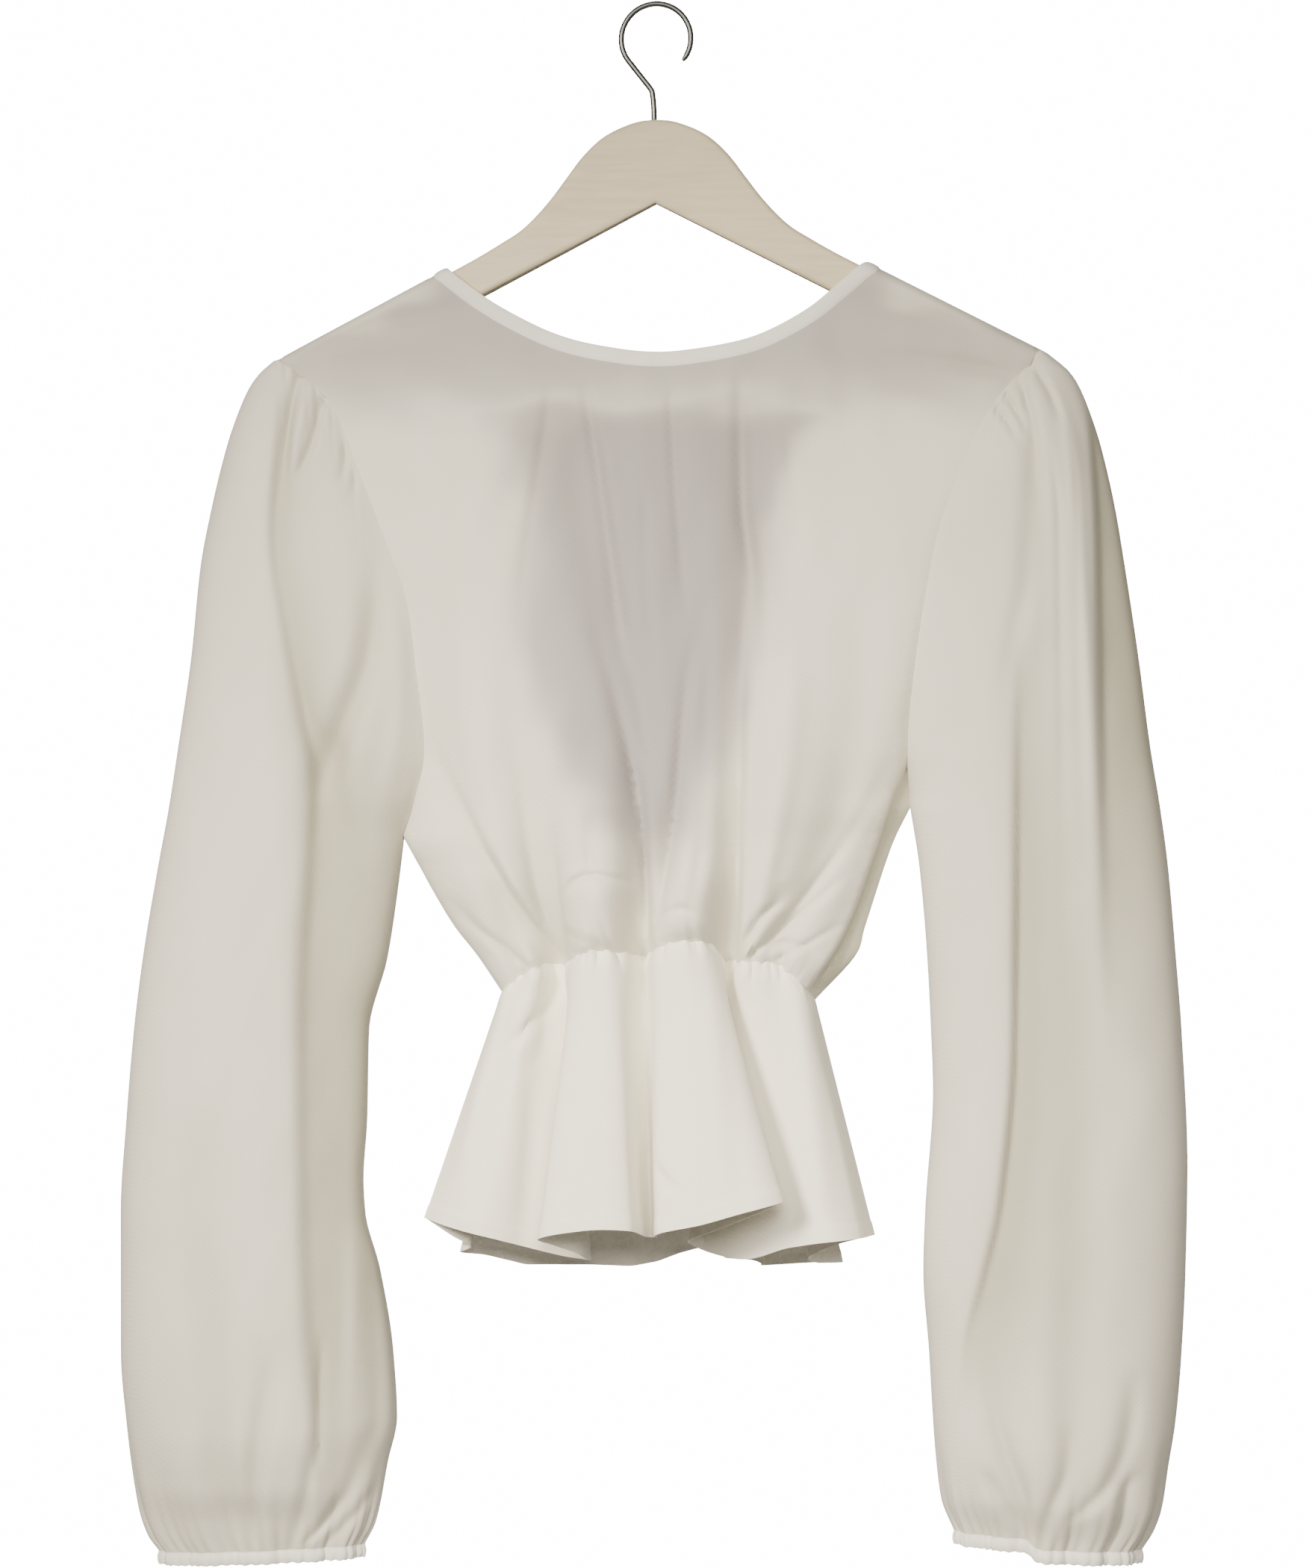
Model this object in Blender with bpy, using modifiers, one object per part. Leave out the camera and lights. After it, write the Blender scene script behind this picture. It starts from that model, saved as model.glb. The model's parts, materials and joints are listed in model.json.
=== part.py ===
"""A white peplum top with long full sleeves, hanging on a flat wooden hanger.

The cloth is first laid out as one net of points: the pieces meet along shared seam points. Each
piece then becomes a wall of its own, square to the net, that ends half a gap short of its seams.

The tables are in millimetres. Across is X, to the viewer's right. Depth is Y, and less is nearer
the viewer. Drop is how far a point hangs below the place where the hook takes the rail, at the
origin. Left and right are the viewer's.
"""
import math

import bmesh
import bpy
import numpy as np
from mathutils import Vector
from mathutils.geometry import delaunay_2d_cdt

MM = 0.001

# Cloth thickness and seams
CLOTH = 1.2
BINDING = 1.6
CUFF_BAND = 1.6
SEAM_GAP = 0.3
UNDERARM_BODY_STEP = (1.0, 0.4, 0.0)
UNDERARM_SLEEVE_STEP = (-0.6, 0.0, 0.3)

# Hanger and shoulders
HANGER_THICK = 12.0
HANGER_EDGE = 3.0
HANGER_TIP = 184.0
SHOULDER_HALF = 200.0
SHOULDER_DROP = 182.0
NECK_HALF = 110.0
NECK_DROP = 135.5
SHOULDER_SEAT = 3.0
SHOULDER_ROLL = 6.0

# Hook wire
HOOK_RADIUS = 18.3
HOOK_WIRE = 3.0
HOOK_BEND_DROP = 44.0
HANGER_TOP_DROP = 59.5

# Bands
NECK_BAND = 7.5
BACK_BAND = 8.0
CUFF_HEIGHT = 7.0

# Points along the seams
SHOULDER_STEPS = 6
NECK_STEPS = 22
BACK_NECK_STEPS = 30
ARMHOLE_STEPS = 14
SIDE_STEPS = 7
WAIST_STEPS = 40
KEYHOLE_STEPS = 20
KEYHOLE_FOOT_STEPS = 1
PEPLUM_STEPS = 8
SLEEVE_STEPS = 16
SLEEVE_COLUMNS = 24
CUFF_GATHERS = 12
NET_STEP = 14.5
NET_STEP_WAIST = 7.0
NET_WAIST_FROM = 462.0
ROLL_DROPS = (2.5, 7.0)
LONGEST_MITRE = 2.6

# Armhole and side seams, from the shoulder point down to the waist: drop, across, depth
LEFT_EDGE = [
    (182, -200, 9.0),
    (190, -189, 9.0),
    (208, -169, 14.0),
    (232, -158, 19.0),
    (282, -138, 23.0),
    (309, -128, 24.0),
    (348, -123, 22.0),
    (387, -120, 16.0),
    (410, -125, 9.0),
    (433, -134, 0.0),
    (449, -125, 0.0),
    (465, -116, 0.0),
    (481, -106, 0.0),
    (496, -94, 0.0),
    (515, -81, 0.0),
]
RIGHT_EDGE = [
    (182, 200, 9.0),
    (192, 193, 9.0),
    (203, 182, 12.0),
    (226, 168, 19.0),
    (272, 150, 23.0),
    (310, 142, 24.0),
    (349, 136, 21.0),
    (387, 132, 12.0),
    (417, 133, 0.0),
    (433, 125, 0.0),
    (449, 119, 0.0),
    (480, 109, 0.0),
    (495, 104, 0.0),
    (518, 83, 0.0),
]
LEFT_UNDERARM = 433.0
RIGHT_UNDERARM = 417.0

# How far the middle of the front and of the back stand from the hanger's plane: drop, depth
FRONT_DEPTH = [(135, 9.0), (155, 10.0), (182, 15.0), (208, 21.0), (250, 28.0), (310, 36.0), (390, 42.0),
               (450, 39.0), (490, 31.0), (518, 27.0)]
BACK_DEPTH = [(135, 9.0), (155, 10.0), (182, 13.0), (208, 17.0), (250, 24.0), (310, 31.0), (390, 35.0),
              (450, 32.0), (490, 25.0), (518, 22.0)]

# Neck edges from the left neck point to the right one: across, drop
FRONT_NECK = [(-110, 135.5), (-94, 148), (-77, 159), (-53, 171), (-29, 178), (2, 182), (33, 179),
              (56, 173), (79, 161), (94, 149), (110, 135.5)]
BACK_NECK = [(-110, 135.5), (-110, 158), (-107, 181), (-93, 196), (-60, 199), (0, 200), (60, 199),
             (93, 196), (107, 181), (110, 158), (110, 135.5)]

# Waist seam: across, drop
FRONT_WAIST = [(-81, 515), (-69, 506), (-55, 500), (-49, 501), (-42, 497), (-27, 492), (-12, 494),
               (-6, 496), (2, 492), (17, 487), (30, 488), (37, 498), (46, 498), (60, 498), (74, 506),
               (83, 518)]
BACK_WAIST = [(-81, 515), (-50, 504), (0, 500), (50, 504), (83, 518)]
WAIST_GATHER = 1.2
DEEPEST_FOLD = 10.0

# Edges of the open back, from the band down to the waist: across, drop
LEFT_KEYHOLE = [(-94, 228), (-79, 275), (-60, 346), (-36, 418), (-15, 476)]
RIGHT_KEYHOLE = [(88, 228), (72, 275), (52, 346), (28, 418), (8, 476)]
KEYHOLE_TOP = 95.0

# Folds of the front, each from its upper end down to the waist: drop, across, half width, depth
FRONT_FOLDS = {
    "left": [(215, -60, 18, 0), (310, -68, 18, 4), (389, -62, 15, 7), (460, -54, 12, 13), (503, -49, 9, 25)],
    "left_long": [(300, -118, 14, 0), (380, -114, 12, 4), (436, -92, 10, 6), (478, -68, 8, 9), (503, -54, 5, 4)],
    "centre_left": [(200, -33, 18, 0), (240, -32, 18, 5), (305, -20, 16, 8), (389, -4, 12, 11),
                    (450, -6, 10, 14), (500, -6, 8, 25)],
    "centre_right": [(200, 8, 16, 0), (296, 19, 16, 5), (378, 20, 13, 8), (447, 8, 9, 9), (485, -2, 7, 0)],
    "right": [(200, 42, 14, 0), (240, 48, 14, 6), (307, 50, 13, 9), (378, 43, 11, 11), (448, 43, 9, 15),
              (503, 37, 8, 26)],
    "right_long": [(280, 112, 14, 0), (396, 103, 13, 5), (452, 86, 11, 7), (496, 56, 6, 5)],
    "right_side": [(385, 131, 6, 0), (420, 120, 7, 7), (465, 105, 8, 9), (500, 93, 7, 0)],
    "left_waist": [(455, -84, 10, 0), (490, -73, 7, 6), (512, -68, 5, 5)],
    "right_waist": [(470, 78, 8, 0), (498, 66, 6, 7), (515, 64, 5, 6)],
}

# Folds of the back, as the front's
BACK_FOLDS = {
    "left_outer": [(330, -112, 16, 0), (430, -92, 12, 7), (500, -64, 6, 10)],
    "left_middle": [(300, -92, 16, 0), (420, -66, 11, 8), (500, -40, 6, 9)],
    "left_inner": [(380, -60, 12, 0), (450, -38, 9, 6), (500, -22, 5, 8)],
    "right_inner": [(370, 62, 12, 0), (450, 40, 9, 7), (500, 24, 5, 8)],
    "right_middle": [(300, 96, 16, 0), (420, 68, 11, 8), (500, 48, 6, 9)],
    "right_outer": [(340, 116, 16, 0), (430, 96, 12, 6), (503, 68, 6, 9)],
}

# Hem of the peplum, hung from the waist seam: seam point, across, depth, drop
FRONT_HEM = [
    (0, -122, -2, 634),
    (2, -108, -14, 637),
    (4, -88, -22, 641),
    (6, -64, -13, 648),
    (7, -48, -3, 653),
    (8, -35, 6, 656),
    (9, -37, -9, 652),
    (10, -50, -25, 645),
    (11, -56, -38, 641),
    (12, -45, -46, 637),
    (14, -20, -50, 634),
    (15, -8, -46, 635),
    (16, -5, -32, 638),
    (17, -4, -15, 641),
    (18, -1, -8, 642),
    (19, 3, -15, 641),
    (20, 4, -34, 639),
    (21, 7, -50, 636),
    (23, 31, -57, 630),
    (25, 55, -57, 623),
    (27, 71, -46, 619),
    (28, 48, -31, 630),
    (29, 26, -12, 640),
    (30, 17, 0, 645),
    (31, 24, 7, 650),
    (32, 44, -6, 653),
    (34, 72, -21, 645),
    (36, 93, -30, 641),
    (38, 107, -22, 640),
    (40, 114, -2, 640),
]
BACK_HEM = [
    (0, -122, -2, 634),
    (1, -108, 2, 644),
    (2, -99, 8, 650),
    (3, -106, 17, 654),
    (4, -96, 26, 656),
    (6, -84, 36, 660),
    (8, -73, 43, 663),
    (11, -55, 45, 663),
    (14, -38, 38, 662),
    (17, -20, 34, 662),
    (20, -7, 44, 661),
    (22, 8, 49, 656),
    (24, 20, 48, 653),
    (25, 32, 47, 652),
    (26, 30, 40, 654),
    (27, 33, 34, 657),
    (29, 47, 34, 658),
    (30, 53, 40, 661),
    (31, 51, 46, 662),
    (33, 68, 47, 661),
    (35, 88, 38, 659),
    (36, 95, 30, 658),
    (37, 84, 26, 658),
    (38, 78, 17, 655),
    (39, 89, 8, 648),
    (40, 114, -2, 640),
]
PEPLUM_FLARE = 0.85
HEM_POINTS = 40

# Outer and inner sides of the sleeves: drop, across
LEFT_OUTER = [(182, -201), (189, -210), (197, -216), (213, -223), (228, -228), (260, -236), (291, -242),
              (339, -247), (386, -254), (418, -259), (450, -265), (497, -273), (537, -278), (584, -282),
              (632, -285), (707, -285), (743, -282), (790, -275), (804, -270), (812, -264)]
LEFT_INNER = [(433, -134), (450, -136), (497, -143), (536, -153), (583, -154), (614, -156), (632, -155),
              (662, -147), (705, -140), (740, -138), (764, -143), (799, -150), (812, -156)]
RIGHT_OUTER = [(182, 201), (194, 215), (202, 220), (217, 226), (233, 231), (264, 238), (294, 243),
               (341, 250), (387, 256), (418, 261), (448, 265), (494, 269), (533, 272), (602, 275),
               (656, 274), (698, 272), (733, 269), (756, 265), (779, 261), (790, 257), (801, 250)]
RIGHT_INNER = [(417, 133), (449, 138), (495, 142), (534, 144), (565, 145), (627, 141), (658, 140),
               (700, 143), (735, 145), (758, 147), (781, 150), (801, 157)]
SLEEVE_HALF_DEPTH = [(182, 9.0), (190, 11.0), (208, 20.0), (234, 27.0), (282, 32.0), (348, 35.0),
                     (433, 34.0), (537, 36.0), (664, 38.0), (743, 38.0), (775, 31.0), (795, 20.0),
                     (812, 14.0)]
SLEEVE_END = {-1: 812.0, 1: 800.0}
CUFF_TILT = {-1: 6.0, 1: 8.0}
CUFF_TILT_FROM = 700.0
CUFF_GATHER_FROM = 735.0
CUFF_GATHER = 2.4
CAP_GATHER = 2.2

# Folds of the sleeves' front and back, as the bodice's
SLEEVE_FOLDS = {
    -1: {
        "drape": [(280, -197, 10, 0), (362, -190, 11, 6), (400, -177, 13, 11), (467, -180, 15, 10),
                  (571, -175, 17, 8), (660, -170, 17, 7), (740, -168, 14, 5), (800, -170, 8, 0)],
        "inner_branch": [(290, -145, 9, 0), (336, -148, 9, 6), (385, -166, 10, 7), (415, -176, 9, 0)],
        "lower_side": [(600, -165, 8, 0), (660, -158, 8, 6), (740, -153, 8, 7), (790, -158, 7, 0)],
        "outer": [(560, -240, 14, 0), (680, -232, 14, 5), (780, -222, 9, 4), (812, -215, 7, 0)],
    },
    1: {
        "drape": [(330, 182, 12, 0), (365, 180, 12, 6), (467, 184, 14, 8), (571, 172, 15, 8), (676, 164, 15, 7),
                  (744, 176, 12, 5), (790, 184, 7, 0)],
        "outer_branch": [(200, 205, 8, 0), (260, 222, 8, 5), (320, 232, 8, 6), (400, 236, 9, 5), (520, 242, 10, 0)],
        "middle": [(430, 218, 12, 0), (560, 222, 14, 5), (700, 218, 14, 5), (790, 216, 8, 0)],
    },
}
SLEEVE_BACK_FOLDS = {
    -1: {
        "upper": [(230, -185, 12, 0), (330, -196, 14, 7), (470, -206, 15, 9), (640, -212, 16, 7), (770, -208, 10, 0)],
        "lower": [(420, -160, 10, 0), (520, -176, 12, 6), (680, -176, 14, 7), (780, -186, 9, 0)],
    },
    1: {
        "upper": [(230, 188, 12, 0), (330, 200, 14, 7), (470, 208, 15, 8), (640, 214, 16, 8), (765, 206, 10, 0)],
        "lower": [(400, 164, 10, 0), (520, 174, 12, 6), (680, 172, 14, 7), (775, 186, 9, 0)],
    },
}

# Upper edge of the hanger's middle, from its crown outwards: across, drop
HANGER_CROWN = [(0, 59.5), (8, 60.2), (16, 62.6), (24, 66.2), (31, 71), (39, 79), (47, 89.5), (55, 100),
                (63, 109), (71, 116.3), (80, 122)]
HANGER_NOTCH_DROP = 103.0
HANGER_NOTCH_SLOPE = 0.515
HANGER_TIP_RADIUS = 8.0


def clear_scene():
    """Remove whatever the scene holds."""
    for item in list(bpy.data.objects):
        bpy.data.objects.remove(item, do_unlink=True)


def slope(rows, row, column):
    """Slope of one column of a table at one of its rows, flat where the column turns back."""
    def step(first):
        return (rows[first + 1][column] - rows[first][column]) / (rows[first + 1][0] - rows[first][0])

    if row == 0:
        return step(0)
    if row == len(rows) - 1:
        return step(row - 1)
    before, after = step(row - 1), step(row)
    return 2 * before * after / (before + after) if before * after > 0 else 0.0


def read(rows, at):
    """The other columns of a table at one place in its first, eased from row to row."""
    if at <= rows[0][0]:
        return rows[0][1:]
    if at >= rows[-1][0]:
        return rows[-1][1:]
    row = next(i for i in range(len(rows) - 1) if at < rows[i + 1][0])
    low, high = rows[row], rows[row + 1]
    width = high[0] - low[0]
    t = (at - low[0]) / width
    values = []
    for column in range(1, len(low)):
        start = slope(rows, row, column) * width
        end = slope(rows, row + 1, column) * width
        values.append((2 * t**3 - 3 * t**2 + 1) * low[column] + (t**3 - 2 * t**2 + t) * start
                      + (3 * t**2 - 2 * t**3) * high[column] + (t**3 - t**2) * end)
    return tuple(values)


def smooth_line(points, pieces=16):
    """A fine polyline through a few points, as a Catmull-Rom curve."""
    vectors = [Vector(point) for point in points]
    padded = [2 * vectors[0] - vectors[1]] + vectors + [2 * vectors[-1] - vectors[-2]]
    line = []
    for before, start, end, after in zip(padded, padded[1:], padded[2:], padded[3:]):
        for k in range(pieces):
            t = k / pieces
            line.append(0.5 * (2 * start + (end - before) * t
                               + (2 * before - 5 * start + 4 * end - after) * t**2
                               + (3 * start - before - 3 * end + after) * t**3))
    return line + [vectors[-1]]


def even_points(line, steps):
    """Points at even distances along a polyline, both ends included."""
    lengths = [0.0]
    for start, end in zip(line, line[1:]):
        lengths.append(lengths[-1] + (end - start).length)
    points = []
    for k in range(steps + 1):
        at = lengths[-1] * k / steps
        row = min(len(line) - 2, max(0, sum(1 for value in lengths if value < at) - 1))
        t = (at - lengths[row]) / (lengths[row + 1] - lengths[row])
        points.append(line[row].lerp(line[row + 1], t))
    return points


def place(across, depth, drop):
    """A point in metres from its three sizes in millimetres."""
    return Vector((across * MM, depth * MM, -drop * MM))


def fold_depth(folds, across, drop):
    """How deep a group of folds pushes the cloth in at one point."""
    total = 0.0
    for rows in folds.values():
        if drop <= rows[0][0]:
            continue
        middle, half_width, depth = read(rows, drop)
        total += depth * math.exp(-((across - middle) / half_width) ** 2)
    return total


def shoulder_drop(across):
    """Drop of the shoulder line, which runs on straight above the neck opening."""
    rise = (SHOULDER_DROP - NECK_DROP) / (SHOULDER_HALF - NECK_HALF)
    return NECK_DROP + (abs(across) - NECK_HALF) * rise


def over_shoulder(across, drop):
    """0 on the shoulder seam, growing to 1 where the cloth has rolled over the hanger's edge."""
    below = min(1.0, max(0.0, (drop - shoulder_drop(across)) / SHOULDER_ROLL))
    return math.sqrt(1 - (1 - below) ** 2)


def body_depth(across, drop, middle_depths):
    """Distance of the bodice from the hanger's plane, without its folds."""
    left, left_depth = read(LEFT_EDGE, drop)
    right, right_depth = read(RIGHT_EDGE, drop)
    share = min(1.0, max(0.0, (across - left) / (right - left)))
    edge = left_depth + (right_depth - left_depth) * share
    middle = read(middle_depths, drop)[0]
    crown = (1 - abs(2 * share - 1) ** 2.6) ** 0.62
    return (edge + (middle - edge) * crown) * over_shoulder(across, drop), crown


def front_depth(across, drop):
    """Depth of the front at a point, folds included."""
    depth, crown = body_depth(across, drop, FRONT_DEPTH)
    return -depth + min(fold_depth(FRONT_FOLDS, across, drop), 0.85 * depth + DEEPEST_FOLD * crown**3)


def back_depth(across, drop):
    """Depth of the back at a point, folds included."""
    depth, _ = body_depth(across, drop, BACK_DEPTH)
    return depth - min(fold_depth(BACK_FOLDS, across, drop), 0.6 * depth)


class ClothNet:
    """Cloth pieces as faces on shared points, so that neighbours meet point for point."""

    def __init__(self):
        self.points = []
        self.numbers = {}
        self.pieces = {}
        self.underarms = {}

    def number(self, point):
        """The number of a point, which it keeps in every piece that has it."""
        key = tuple(point)
        if key not in self.numbers:
            self.numbers[key] = len(self.points)
            self.points.append(point.copy())
        return self.numbers[key]

    def add(self, name, points, faces, outward):
        """Add a piece and turn its faces to the side that the function outward points to."""
        numbers = [self.number(point) for point in points]
        turned = 0.0
        for face in faces:
            corners = [points[i] for i in face]
            middle = sum(corners, Vector()) / len(corners)
            turned += self.face_normal(corners).dot(outward(middle))
        if turned < 0:
            faces = [face[::-1] for face in faces]
        self.pieces[name] = [[numbers[i] for i in face] for face in faces]

    @staticmethod
    def face_normal(corners):
        """Normal of a face, as long as twice its area."""
        total = Vector()
        for before, after in zip(corners[1:], corners[2:]):
            total += (before - corners[0]).cross(after - corners[0])
        return total

    def point_normals(self):
        """A normal for each point, shared by the pieces that meet there, and longer at a sharp crease."""
        normals = []
        around = [{} for _ in self.points]
        for name, faces in self.pieces.items():
            for face in faces:
                normal = self.face_normal([self.points[i] for i in face])
                for i in face:
                    total, area = around[i].get(name, (Vector(), 0.0))
                    around[i][name] = (total + normal, area + normal.length)
        for sides in around:
            units = [total.normalized() for total, _ in sides.values()]
            shared = sum(units, Vector()).normalized()
            crease = max(area / total.length for total, area in sides.values())
            crease /= max(0.1, min(shared.dot(unit) for unit in units))
            normals.append(shared * min(LONGEST_MITRE, crease))
        return normals

    def underarm_step(self, name, point):
        """Step that parts the body from the sleeve at the sharp foot of the armhole."""
        side = self.underarms[point]
        across, depth, drop = UNDERARM_SLEEVE_STEP if name.startswith("sleeve") else UNDERARM_BODY_STEP
        return place(-side * across, depth if "back" in name else -depth, drop)

    def wall(self, name, thickness, shared_normals):
        """Points and faces of a piece as a closed wall that stands back from its seams."""
        faces = self.pieces[name]
        normals = list(shared_normals)
        for underarm in self.underarms:
            around = [self.face_normal([self.points[i] for i in face]) for face in faces if underarm in face]
            normals[underarm] = sum(around, Vector()).normalized()
        own = {(a, b) for face in faces for a, b in zip(face, face[1:] + face[:1])}
        others = {(a, b) for other, group in self.pieces.items() if other != name
                  for face in group for a, b in zip(face, face[1:] + face[:1])}
        rim = [(a, b) for a, b in own if (b, a) not in own]
        rim.sort()
        steps = {}
        for a, b in rim:
            along = self.points[b] - self.points[a]
            gap = SEAM_GAP * MM / 2 if (b, a) in others else 0.0
            for end in (a, b):
                inward = normals[end].cross(along).normalized()
                steps.setdefault(end, []).append((inward, gap))
        order = sorted({i for face in faces for i in face})
        row = {i: k for k, i in enumerate(order)}
        half = thickness * MM / 2
        apart = {i: step_back(sides) for i, sides in steps.items()}
        apart.update({i: self.underarm_step(name, i) for i in self.underarms if i in apart})
        middle = [self.points[i] + apart.get(i, Vector()) for i in order]
        outer = [point + normals[i] * half for point, i in zip(middle, order)]
        inner = [point - normals[i] * half for point, i in zip(middle, order)]
        count = len(order)
        shell = [[row[i] for i in face] for face in faces]
        shell += [[row[i] + count for i in reversed(face)] for face in faces]
        for a, b in rim:
            near, far = row[a], row[b]
            if a < b:
                shell += [[near, near + count, far + count], [near, far + count, far]]
            else:
                shell += [[near, near + count, far], [near + count, far + count, far]]
        return outer + inner, shell


def step_back(sides):
    """Step that takes a seam point the right distance from each of the edges that meet there."""
    wide = max((gap for _, gap in sides), default=0.0)
    if wide == 0.0:
        return Vector()
    (first, first_gap), (second, second_gap) = sides[0], sides[1]
    cosine = first.dot(second)
    if abs(cosine) > 0.98:
        return (first + second).normalized() * wide
    share = 1 - cosine**2
    return (first * ((first_gap - cosine * second_gap) / share)
            + second * ((second_gap - cosine * first_gap) / share))


def grid_faces(points, columns):
    """Triangles of a grid whose points are listed row by row, cut across each cell's short way."""
    faces = []
    for row in range(len(points) // columns - 1):
        for column in range(columns - 1):
            a = row * columns + column
            b, c, d = a + 1, a + columns + 1, a + columns
            if (points[a] - points[c]).length < (points[b] - points[d]).length:
                faces += [[a, b, c], [a, c, d]]
            else:
                faces += [[a, b, d], [b, c, d]]
    return faces


def net_step(drop):
    """Distance between the net's points, closer where the waist is gathered."""
    return NET_STEP_WAIST if drop > NET_WAIST_FROM else NET_STEP


def fill_panel(outline, depth_at, lines):
    """Points and triangles that fill a panel's outline and keep to the lines drawn inside it."""
    placed = [point for line in lines for point in line]
    edge = np.array([(point.x / MM, -point.z / MM) for point in outline])
    ends = np.roll(edge, -1, axis=0)
    runs = ends - edge
    flat = [Vector(point) for point in edge] + placed
    drop = edge[:, 1].min()
    odd = False
    while drop < edge[:, 1].max():
        step = net_step(drop)
        across = edge[:, 0].min() + (step / 2 if odd else 0.0)
        while across < edge[:, 0].max():
            spot = np.array((across, drop))
            crosses = ((edge[:, 1] > drop) != (ends[:, 1] > drop))
            with np.errstate(divide="ignore", invalid="ignore"):
                hits = edge[:, 0] + (drop - edge[:, 1]) / runs[:, 1] * runs[:, 0]
            inside = np.count_nonzero(crosses & (hits > across)) % 2 == 1
            along = np.clip(((spot - edge) * runs).sum(axis=1) / (runs**2).sum(axis=1), 0, 1)
            nearest = np.linalg.norm(edge + runs * along[:, None] - spot, axis=1).min()
            apart = min(math.dist(spot, point) for point in placed)
            if inside and nearest > 0.55 * step and apart > 0.55 * step:
                flat.append(Vector(spot))
            across += step
        odd = not odd
        drop += step * math.sqrt(3) / 2
    count = len(outline)
    borders = [(i, (i + 1) % count) for i in range(count)]
    start = count
    for line in lines:
        borders += [(i, i + 1) for i in range(start, start + len(line) - 1)]
        start += len(line)
    spots, _, triangles, sources, _, _ = delaunay_2d_cdt(flat, borders, [], 1, 1e-6)
    points = []
    for spot, source in zip(spots, sources):
        if source and source[0] < count:
            points.append(outline[source[0]])
        else:
            points.append(place(spot.x, depth_at(spot.x, spot.y), spot.y))
    return points, [list(triangle) for triangle in triangles]


def shoulder_seam(side):
    """Shoulder seam from the shoulder point to the neck band."""
    inner = NECK_HALF + NECK_BAND * 0.9
    points = []
    for k in range(SHOULDER_STEPS + 1):
        across = side * (SHOULDER_HALF + (inner - SHOULDER_HALF) * k / SHOULDER_STEPS)
        points.append(place(across, 0.0, shoulder_drop(across)))
    return points


def roll_lines(side):
    """Lines close under the shoulder seam, where the cloth rolls over the hanger."""
    outer, inner = side * SHOULDER_HALF, side * (NECK_HALF + NECK_BAND)
    steps = 2 * SHOULDER_STEPS
    spots = [outer + (inner - outer) * k / steps for k in range(1, steps)]
    return [[Vector((across, shoulder_drop(across) + below)) for across in spots] for below in ROLL_DROPS]


def side_seam(edge, underarm):
    """Side seam from the waist up to the underarm."""
    line = [Vector((across, 0.0, drop)) for drop, across, _ in reversed(edge) if drop >= underarm]
    return [place(point.x, 0.0, point.z) for point in even_points(smooth_line(line), SIDE_STEPS)]


def armhole_seam(edge, underarm, depth_at):
    """Armhole seam from the underarm up to the shoulder point, at the given panel's depth."""
    line = [Vector((across, 0.0, drop)) for drop, across, _ in reversed(edge) if drop <= underarm]
    points = []
    for point in even_points(smooth_line(line), ARMHOLE_STEPS):
        table_across, table_depth = read(edge, point.z)
        depth = table_depth * over_shoulder(table_across, point.z)
        points.append(place(point.x, math.copysign(depth, depth_at), point.z))
    points[0] = place(line[0].x, 0.0, underarm)
    points[-1] = shoulder_seam(math.copysign(1, edge[0][1]))[0]
    return points


def waist_seam(rows, depth_at):
    """Waist seam from left to right, evenly spaced along its folds and gathered a little."""
    left, right = rows[0][0], rows[-1][0]
    line = []
    for k in range(401):
        across = left + (right - left) * k / 400
        drop = read(rows, across)[0]
        line.append(place(across, depth_at(across, drop), drop))
    points = even_points(line, WAIST_STEPS)
    for k in range(1, WAIST_STEPS):
        points[k].y += WAIST_GATHER * MM * math.cos(math.pi * k)
    points[0] = place(left, 0.0, rows[0][1])
    points[-1] = place(right, 0.0, rows[-1][1])
    return points


def neck_edges(rows, band, steps, depth_at):
    """The free edge of a neck band and the seam under it, from left to right."""
    line = even_points(smooth_line([Vector((across, 0.0, -drop)) for across, drop in rows]), steps)
    free, seam = [], []
    for before, point, after in zip(line, line[1:], line[2:]):
        along = (after - before).normalized()
        below = point + Vector((along.z, 0.0, -along.x)) * band
        free.append(place(point.x, depth_at(point.x, -point.z), -point.z))
        seam.append(place(below.x, depth_at(below.x, -below.z), -below.z))
    for side in (-1, 1):
        ends = []
        for edge, top in ((free, place(side * NECK_HALF, 0.0, NECK_DROP)), (seam, shoulder_seam(side)[-1])):
            across, drop = top.x / MM - side * 0.5, -top.z / MM + ROLL_DROPS[0] - 0.3
            ends.append([top, place(across, depth_at(across, drop), drop)])
        if side < 0:
            free, seam = ends[0] + free, ends[1] + seam
        else:
            free, seam = free + ends[0][::-1], seam + ends[1][::-1]
    return free, seam


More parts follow.
